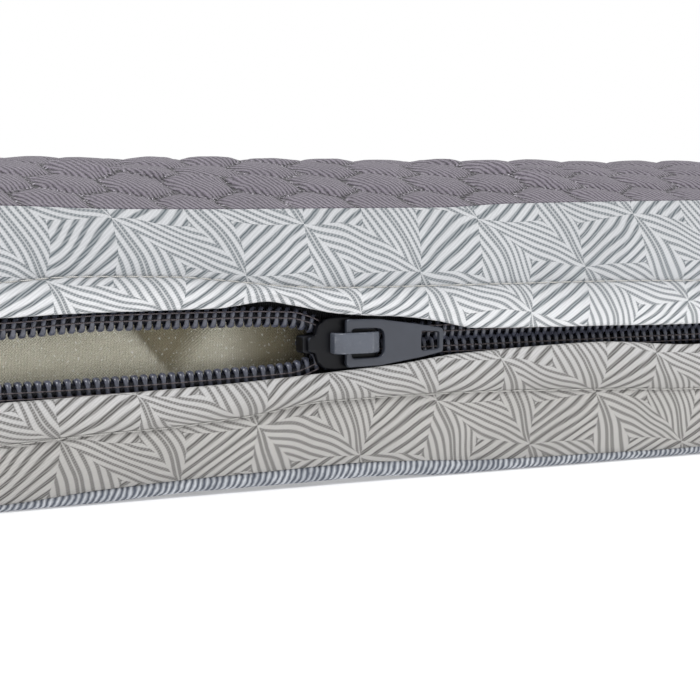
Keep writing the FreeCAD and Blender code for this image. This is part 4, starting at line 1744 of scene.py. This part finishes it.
@dataclass
class Slab:
    """One hidden layer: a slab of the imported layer's size with soft edges."""

    name: str
    node: str
    finish: Finish
    slot: str
    edge: float = 3.0
    wave: float = 0.25
    fine: bool = False
    inset: float = 0.0
    sink: float = 0.0
    hollow: float = 0.0

    def build(self) -> bpy.types.Object:
        """Makes the layer.

        Returns:
            The dressed layer.
        """
        low, high = node_box(self.node)
        high[2] -= self.sink
        radius = high[0] - CORE[0] - self.inset
        edge = min(self.edge, (high[2] - low[2]) / 2 - 0.05)
        bend = np.linspace(0, math.pi / 2, 5)
        inner = [0.0, radius * 0.6]
        sides = np.linspace(low[2] + edge, high[2] - edge, 16)[1:-1]
        flat_edge = radius - edge
        under, over = flat_edge + edge * np.sin(bend), flat_edge + edge * np.cos(bend)
        reach = np.concatenate([inner, under, [radius] * len(sides), over, inner[::-1]])
        under, over = low[2] + edge - edge * np.cos(bend), high[2] - edge + edge * np.sin(bend)
        level = np.concatenate([[low[2]] * 2, under, sides, over, [high[2]] * 2])
        xs = np.linspace(-CORE[0], CORE[0], 90)
        if self.fine:
            xs = graded(-CORE[0], CORE[0], FOCUS, 1.2, 12.0)
        ys = np.linspace(-CORE[1], CORE[1], 44)
        stations = Stations(CORE, xs, ys, 10)
        shape = (len(stations.foot), len(reach))
        run = stations.travel(radius)[:, None]
        out = np.broadcast_to(reach, shape) + 0.0
        soft = np.clip(out / radius, 0, 1) ** 4
        out -= self.wave * soft * (0.5 + 0.5 * ripple(run + level * 0, level + run * 0, 26, 51))
        # The sleeve's third cloth number carries painted shade for its crease and the zip's mouth.
        painted_shade = np.zeros(shape)
        if self.hollow:
            painted_shade, dent = sleeve_crease_and_shade(run - (SLIDER_X - stations.xs[0]), level)
            out -= self.hollow * dent
        rim = stations.points(out, np.broadcast_to(level, shape))
        travel = np.concatenate([[0.0], np.cumsum(np.hypot(np.diff(reach), np.diff(level)))])
        rim_cloth = np.stack([np.broadcast_to(run, shape), np.broadcast_to(travel, shape), painted_shade], -1)
        x, y = np.meshgrid(xs, ys, indexing="ij")
        cores = []
        for z, flip in ((low[2] + 0 * x, True), (high[2] + 0 * x, False)):
            cores.append((np.stack([x, y, z], -1), np.stack([x, y, x * 0], -1), flip))
        pile = Pile()
        pile.sheet(rim, rim_cloth, cores)
        return settle(pile.piece(self.name), self.finish.material(), [self.node])


@dataclass
class FoamCore:
    """What the cover holds: two foams in a knit sleeve, and the quilt's wadding and backing."""

    def build(self) -> list[bpy.types.Object]:
        """Makes the layers.

        Returns:
            The dressed layers.
        """
        foam = {"edge": 12.5, "inset": 4.2}
        core = Slab("support_foam", "support_foam_core", BASE_FOAM, "support_foam", **foam).build()
        memory = Slab("memory_foam", "memory_foam_layer", MEMORY_FOAM, "memory_foam", **foam).build()
        padding = {"edge": 1.4, "inset": 24.0, "sink": 4.4}
        wadding = Slab("quilt_wadding", "top_wadding", WADDING, "wadding", **padding).build()
        backing = Slab("quilt_backing", "top_backing", SCRIM, "scrim", edge=0.2, inset=12.0).build()
        cover = {"edge": 14.0, "wave": 0.8, "fine": True, "hollow": 2.6}
        sleeve = Slab("foam_sleeve", "inner_sleeve", SLEEVE, "sleeve_knit", **cover).build()
        return [core, memory, wadding, backing, sleeve]


@dataclass
class ZipRow:
    """One half of the zip: its wound coil, the yarn inside it, its tape and its sewing."""

    side: Side
    pitch: float = 2.2
    reach: float = 4.9
    half_thick: float = 1.02
    wire: float = 0.47
    coil_out: float = 4.0
    yarn_in: float = 2.6
    yarn_radius: float = 0.95
    tape_end: float = 851.0
    tape_reach: float = 17.4
    tape_out: float = 2.2
    sewing_out: float = 5.62
    hold: float = 14.0
    keep: float = 0.75

    @property
    def way(self) -> float:
        """Direction from the zip's middle towards this half's tape."""
        return 1.0 if self.side is Side.UPPER else -1.0

    def tips(self, x: Array) -> Array:
        """Height of the coil's tips."""
        return (UPPER_TIPS if self.side is Side.UPPER else LOWER_TIPS)(x)

    def winding(self, start: float, end: float, segments: int) -> Array:
        """Points of the wound wire between two places along the zip.

        Args:
            start: where the stretch begins.
            end: where it ends.
            segments: points to a turn.

        Returns:
            The wire's centre line.
        """
        offset = 0.0 if self.side is Side.UPPER else 0.5
        first = math.ceil(start / self.pitch - offset)
        last = math.floor(end / self.pitch - offset)
        turns = np.repeat(np.arange(first, last), segments)
        phase = np.tile(np.arange(segments) / segments, last - first)
        angle = phase * math.tau
        cross = np.clip((phase - 0.22) / 0.56, 0, 1)
        x = (turns + offset + cross * cross * (3 - 2 * cross)) * self.pitch
        middle = self.reach / 2 - self.wire
        head = np.sign(np.cos(angle)) * np.abs(np.cos(angle)) ** 0.75
        y = front_y(self.coil_out) - np.sin(angle) * self.half_thick * (1 - 0.12 * head)
        z = self.tips(x) + self.way * (self.wire + middle - middle * head)
        return np.stack([x, y, z], -1)

    def coil(self) -> bpy.types.Object:
        """The coil, fine near the slider and plainer along the rest of the edge.

        Returns:
            The undressed coil.
        """
        pile = Pile()
        ends = (COIL_LOW[0] + 1, FOCUS[0] - 6, FOCUS[1] + 4, COIL_HIGH[0] - 1)
        for start, end, segments, sides in ((*ends[:2], 10, 5), (*ends[1:3], 22, 9), (*ends[2:], 10, 5)):
            line = self.winding(start, end, segments)
            along = np.gradient(line, axis=0)
            along /= np.linalg.norm(along, axis=1)[:, None]
            across = np.cross(along, np.array([1.0, 0, 0]))
            across /= np.linalg.norm(across, axis=1)[:, None]
            up = np.cross(across, along)
            tip = 1 - np.clip(np.abs(line[:, 2] - self.tips(line[:, 0])) / 1.9, 0, 1)
            broad = np.where(line[:, 0] < SLIDER_X, 0.75, 0.2)
            ring = circle(self.wire, sides) * np.stack([1 - 0.1 * tip, 1.15 + broad * tip], -1)[:, None, :]
            pile.tube(line, across, up, ring, tip)
        return pile.piece(f"{self.side.value}_coil")

    def yarn(self) -> bpy.types.Object:
        """The yarn that the coil is wound round.

        Returns:
            The undressed yarn.
        """
        xs = graded(COIL_LOW[0], COIL_HIGH[0], FOCUS, 1.5, 8.0)
        z = self.tips(xs) + self.way * self.yarn_in
        path = np.stack([xs, np.full_like(xs, front_y(self.coil_out)), z], -1)
        twist = 1 + 0.05 * np.sin(xs * 2.1)
        pile = Pile()
        ring = circle(self.yarn_radius * twist, 8, 0.45)
        pile.tube(path, np.array([0, 0, 1.0]), np.array([0, 1.0, 0]), ring)
        return pile.piece(f"{self.side.value}_coil_yarn")

    def tape(self) -> bpy.types.Object:
        """The woven tape behind the coil, up under the band.

        Returns:
            The undressed tape.
        """
        xs = graded(-self.tape_end, self.tape_end, FOCUS, 2.0, 8.0)
        t = np.linspace(0, 1, 12)[None, :]
        near = (self.tips(xs) + self.way * 1.3)[:, None]
        far = ZIP_Z + self.way * self.tape_reach
        z = near + (far - near) * t
        x = np.broadcast_to(xs[:, None], z.shape)
        out = self.tape_out + 0.12 * ripple(x, z, 30, 61)
        pile = Pile()
        points = np.stack([x, front_y(out), z], -1)
        pile.grid(points, np.stack([x, z, z * 0], -1), flip=self.side is Side.LOWER)
        return pile.piece(f"{self.side.value}_tape")

    def sewing(self) -> bpy.types.Object:
        """Two rows of dark thread that lock the coil to its tape, over the wire.

        Returns:
            The undressed thread.
        """
        pile = Pile()
        xs = np.arange(FOCUS[0] - 4, FOCUS[1] + 3, 1.1)
        off = np.array([0.0, -1.0, 0.0])
        for height in (2.35, 3.75):
            z = self.tips(xs) + self.way * height
            path = np.stack([xs, np.full_like(xs, front_y(self.sewing_out)), z], -1)
            stitch_run(pile, path, off, self.pitch, self.pitch * 1.02, 0.17, 5)
        return pile.piece(f"{self.side.value}_coil_sewing")

    def build(self) -> list[bpy.types.Object]:
        """Makes and dresses this half of the zip.

        Returns:
            Its pieces.
        """
        side = self.side.value
        made = [
            settle(self.coil(), NYLON.material(), [f"zip_coil_{side}"]),
            settle(self.yarn(), YARN.material(), [f"zip_coil_filler_{side}"]),
            settle(self.tape(), TAPE.material(), [f"zip_tape_{side}"]),
            settle(self.sewing(), LADDER.material(), []),
        ]
        for piece in (made[0], made[1], made[3]):
            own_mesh(piece)
        return made


def upright_patch(low: Array, high: Array, columns: int, rows: int) -> tuple[Array, Array, Array]:
    """A small upright grid that fills a box.

    Args:
        low: the box's lowest corner.
        high: its highest corner.
        columns: points along the edge.
        rows: points up it.

    Returns:
        Each point's place along, its height, and its distance from the rim.
    """
    across, up = np.linspace(low[0], high[0], columns), np.linspace(low[2], high[2], rows)
    x, z = np.meshgrid(across, up, indexing="ij")
    return x, z, np.minimum.reduce([x - low[0], high[0] - x, z - low[2], high[2] - z])


@dataclass
class ZipEnds:
    """The zip's metal stops, and the cloth patches sewn over its ends."""

    def build(self) -> list[bpy.types.Object]:
        """Dresses the stops and makes the patches.

        Returns:
            The patches.
        """
        for node in ("zip_top_stops", "zip_bottom_stop"):
            dress_node(node, STEEL, edge=0.35)
        made = []
        for side in ("left", "right"):
            node = f"zip_end_patch_{side}"
            low, high = node_box(node)
            x, z, rim = upright_patch(low, high, 40, 20)
            out = FRONT - low[1] - 0.9 * np.exp(-rim / 0.6) + 0.15 * ripple(x, z, 8, 71)
            pile = Pile()
            pile.grid(np.stack([x, front_y(np.minimum(out, 6.8)), z], -1), np.stack([x, z, z * 0], -1))
            patch = settle(pile.piece(f"{side}_end_patch"), UPPER_PRINT.material(), [node])
            made.append(patch)
        return made


def dress_node(node: str, finish: Finish, edge: float) -> bpy.types.Object:
    """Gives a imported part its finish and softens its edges.

    Args:
        node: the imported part.
        finish: what it is coated with.
        edge: radius of the softened edges, in millimetres.

    Returns:
        The part's object.
    """
    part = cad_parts[node]
    part.data.materials.clear()
    part.data.materials.append(finish.material())
    weld = part.modifiers.new("weld", "WELD")
    weld.merge_threshold = 1e-6
    soften = part.modifiers.new("soft edges", "BEVEL")
    soften.width = edge * MM
    soften.segments = 3
    soften.limit_method = "ANGLE"
    soften.angle_limit = math.radians(35)
    soften.use_clamp_overlap = True
    soften.harden_normals = False
    return part


Corners = tuple[tuple[float, float, float], ...]


def mirrored(*corners: tuple[float, float, float]) -> Corners:
    """Corners of an outline, each an x, y and radius, followed by their mirror images."""
    return corners + tuple((x, -y, radius) for x, y, radius in reversed(corners))


@dataclass
class Slider:
    """The slider's shell, the strap over it that holds the pull, and the pull."""

    shell: Corners = mirrored(
        (-7.4, 1.6, 0.9), (-5.6, 2.2, 0.4), (-5.0, 4.2, 1.4), (-3.2, 5.8, 1.6),
        (-0.6, 6.2, 1.2), (3.0, 6.2, 2.4), (6.0, 5.3, 1.5), (10.3, 5.0, 1.7),
    )
    stem: Corners = mirrored((-7.6, 0.45, 0.2), (-1.6, 0.45, 0.2))
    post: Corners = mirrored((-8.3, 1.9, 0.8), (-4.4, 2.3, 0.9), (-1.4, 0.5, 0.3))
    pull: Corners = (
        (1.3, 5.6, 0.8), (9.8, 5.4, 3.0), (20.5, 3.9, 5.0), (26.9, 2.75, 1.0),
        (26.9, -2.75, 1.0), (20.5, -3.9, 5.0), (9.8, -5.3, 3.0), (1.3, -5.4, 1.2),
    )
    window: Corners = mirrored((2.6, 3.3, 0.9), (11.2, 3.3, 2.1))
    eye: Corners = mirrored((21.0, 2.3, 0.6), (25.8, 1.95, 0.6))
    strap: Corners = (
        (-1.9, 7.3, 0.3), (-1.9, 9.5, 0.9), (-0.2, 10.85, 1.2), (7.4, 10.85, 1.6),
        (10.0, 9.2, 0.8), (10.0, 7.3, 0.3), (8.6, 7.3, 0.2), (8.6, 8.9, 0.6),
        (7.0, 10.0, 0.8), (0.9, 10.0, 0.6), (-0.5, 9.1, 0.6), (-0.5, 7.3, 0.2),
    )

    def centre(self, out: float) -> tuple[float, float, float]:
        """The slider's middle, some distance out from the sleeve."""
        return (SLIDER_X, front_y(out), ZIP_Z)

    def body(self) -> bpy.types.Object:
        """Two shaped plates joined by the dividing post, whose thin stem runs between the tapes.

        Returns:
            The undressed shell.
        """
        parts = []
        for name, corners, steps, out, thick, edge in (
            ("front plate", self.shell, 6, 6.65, 1.7, 0.55),
            ("back plate", self.shell[2:-2], 6, 1.05, 1.3, 0.35),
            ("post", self.post, 4, 4.65, 3.6, 0.2),
            ("stem", self.stem, 3, 2.05, 2.0, 0.1),
        ):
            outline = rounded_polygon(corners, steps)
            parts.append(plate(name, [outline], self.centre(out), thick, edge, Facing.FRONT))
        return join("slider_shell", parts)

    def crown(self) -> bpy.types.Object:
        """The strap: a leg at the nose end, a flat top, and a longer slope to the tail.

        Returns:
            The undressed strap.
        """
        loop = [(x, -y) for x, y in rounded_polygon(self.strap, 4)]
        foot = (SLIDER_X, FRONT, ZIP_Z + 0.2)
        return plate("slider_strap", [loop], foot, 4.8, 0.42, Facing.SIDE)

    def tab(self) -> bpy.types.Object:
        """The tapered pull, its window round the strap and the eye in its tip.

        Returns:
            The undressed pull.
        """
        low, high = node_box("pull_tab")
        middle = (SLIDER_X, (low[1] + high[1]) / 2, ZIP_Z)
        outlines = [rounded_polygon(points, 6) for points in (self.pull, self.window, self.eye)]
        return plate("pull", outlines, middle, high[1] - low[1], 0.36, Facing.FRONT)

    def build(self) -> list[bpy.types.Object]:
        """Makes and dresses the slider and its pull.

        Returns:
            Its three pieces.
        """
        return [
            settle(self.body(), ENAMEL.material(), ["slider_body"], "slider"),
            settle(self.crown(), CROWN_ENAMEL.material(), ["slider_crown"], "slider"),
            settle(self.tab(), PULL_ENAMEL.material(), ["pull_tab"], "pull"),
        ]


@dataclass
class CareLabel:
    """A blank sewn label on the back of the border."""

    stand: float = 0.6
    wrap: BorderWrap = field(default_factory=BorderWrap)

    def build(self) -> list[bpy.types.Object]:
        """Makes the label and the stitches round it.

        Returns:
            The dressed label and stitches.
        """
        low, high = node_box("care_label")
        x, z, rim = upright_patch(low, high, 60, 20)
        out = self.wrap.profile(z) + self.stand + 0.25 * ripple(x, z, 16, 81) * np.clip(rim / 3, 0, 1)
        points = np.stack([x, -FRONT + out, z], -1)
        pile = Pile()
        pile.grid(points, np.stack([x, z, x * 0], -1), flip=True)
        label = settle(pile.piece("sewn_label"), LABEL.material(), ["care_label"])
        stitches = Pile()
        for row in (points[1:-1, 1], points[1:-1, -2], points[1, 1:-1], points[-2, 1:-1]):
            stitch_run(stitches, row, np.array([0.0, 1.0, 0.3]), 2.2, 1.7, 0.13, 5)
        return [label, settle(stitches.piece("label_stitches"), THREAD.material(), [])]


@dataclass
class Studio:
    """A pale floor, soft light and a camera aimed at the front face beside the slider."""

    focal: float = 102.86
    distance: float = 450.0
    turn: float = 29.0
    dip: float = 4.86
    aside: float = 1.25
    face: float = -482.5
    height: float = 31.5
    floor_half: float = 60000.0
    ambient: float = 0.62

    def floor(self) -> None:
        """A plain pale floor under the mattress."""
        half = self.floor_half
        corners = np.array([[-half, -half, 0], [half, -half, 0], [half, half, 0], [-half, half, 0]])
        made = make_object("studio_floor", corners, np.array([[0, 1, 2, 3]]), corners)
        white = bpy.data.materials.new("studio floor")
        white.use_nodes = True
        shader = white.node_tree.nodes["Principled BSDF"]
        shader.inputs["Base Color"].default_value = (0.93, 0.93, 0.94, 1)
        shader.inputs["Roughness"].default_value = 0.9
        shader.inputs["Emission Color"].default_value = (1, 1, 1, 1)
        shader.inputs["Emission Strength"].default_value = 0.3
        made.data.materials.append(white)

    def lamp(self, name: str, from_way: tuple[float, float, float], spread: float, strength: float) -> None:
        """Adds one soft light that reaches every side alike.

        Args:
            name: the lamp's name.
            from_way: direction that its light comes from.
            spread: how soft it is, as an angle in degrees.
            strength: its strength.
        """
        light = bpy.data.lights.new(name, "SUN")
        light.angle = math.radians(spread)
        light.energy = strength
        made = bpy.data.objects.new(name, light)
        made.rotation_euler = (-Vector(from_way)).to_track_quat("-Z", "Y").to_euler()
        bpy.context.scene.collection.objects.link(made)

    def build(self) -> None:
        """Sets up the floor, the lights and the camera."""
        self.floor()
        world = bpy.data.worlds.new("studio")
        world.use_nodes = True
        sky = world.node_tree.nodes["Background"]
        sky.inputs["Color"].default_value = (1.0, 1.0, 1.0, 1)
        n = Nodes(world.node_tree)
        seen = n.add("LightPath").outputs["Is Camera Ray"]
        n.feed(sky.inputs["Strength"], n.math("MULTIPLY_ADD", seen, 1.0 - self.ambient, self.ambient))
        bpy.context.scene.world = world
        bpy.context.scene.view_settings.view_transform = "Standard"
        aim = Vector((SLIDER_X + self.aside, self.face, self.height)) * MM
        self.lamp("key", (-0.75, -0.9, 1.5), 16.0, 1.15)
        self.lamp("fill", (1.3, -0.4, 0.7), 25.0, 0.35)
        self.lamp("back", (0.3, 1.2, 1.2), 40.0, 0.5)
        camera = bpy.data.cameras.new("camera")
        camera.lens = self.focal
        camera.sensor_width = 36.0
        camera.clip_start = 0.01
        camera.clip_end = 50.0
        turn, dip = math.radians(self.turn), math.radians(self.dip)
        ahead = Vector((math.sin(turn) * math.cos(dip), math.cos(turn) * math.cos(dip), -math.sin(dip)))
        made = bpy.data.objects.new("camera", camera)
        made.location = aim - ahead * self.distance * MM
        made.rotation_euler = ahead.to_track_quat("-Z", "Y").to_euler()
        bpy.context.scene.collection.objects.link(made)
        bpy.context.scene.camera = made


def main() -> None:
    """Builds every sub-assembly in order."""
    logging.basicConfig(level=logging.INFO, format="%(name)s %(message)s")
    Studio().build()
    FoamCore().build()
    Underside().build()
    Welt().build()
    TopPanel().build()
    BorderWrap().build()
    for side in Side:
        FrontBand(side).build()
        Lip(side).build()
        Topstitch(side).build()
        ZipRow(side).build()
    ZipEnds().build()
    Slider().build()
    CareLabel().build()


if __name__ == "__main__":
    main()
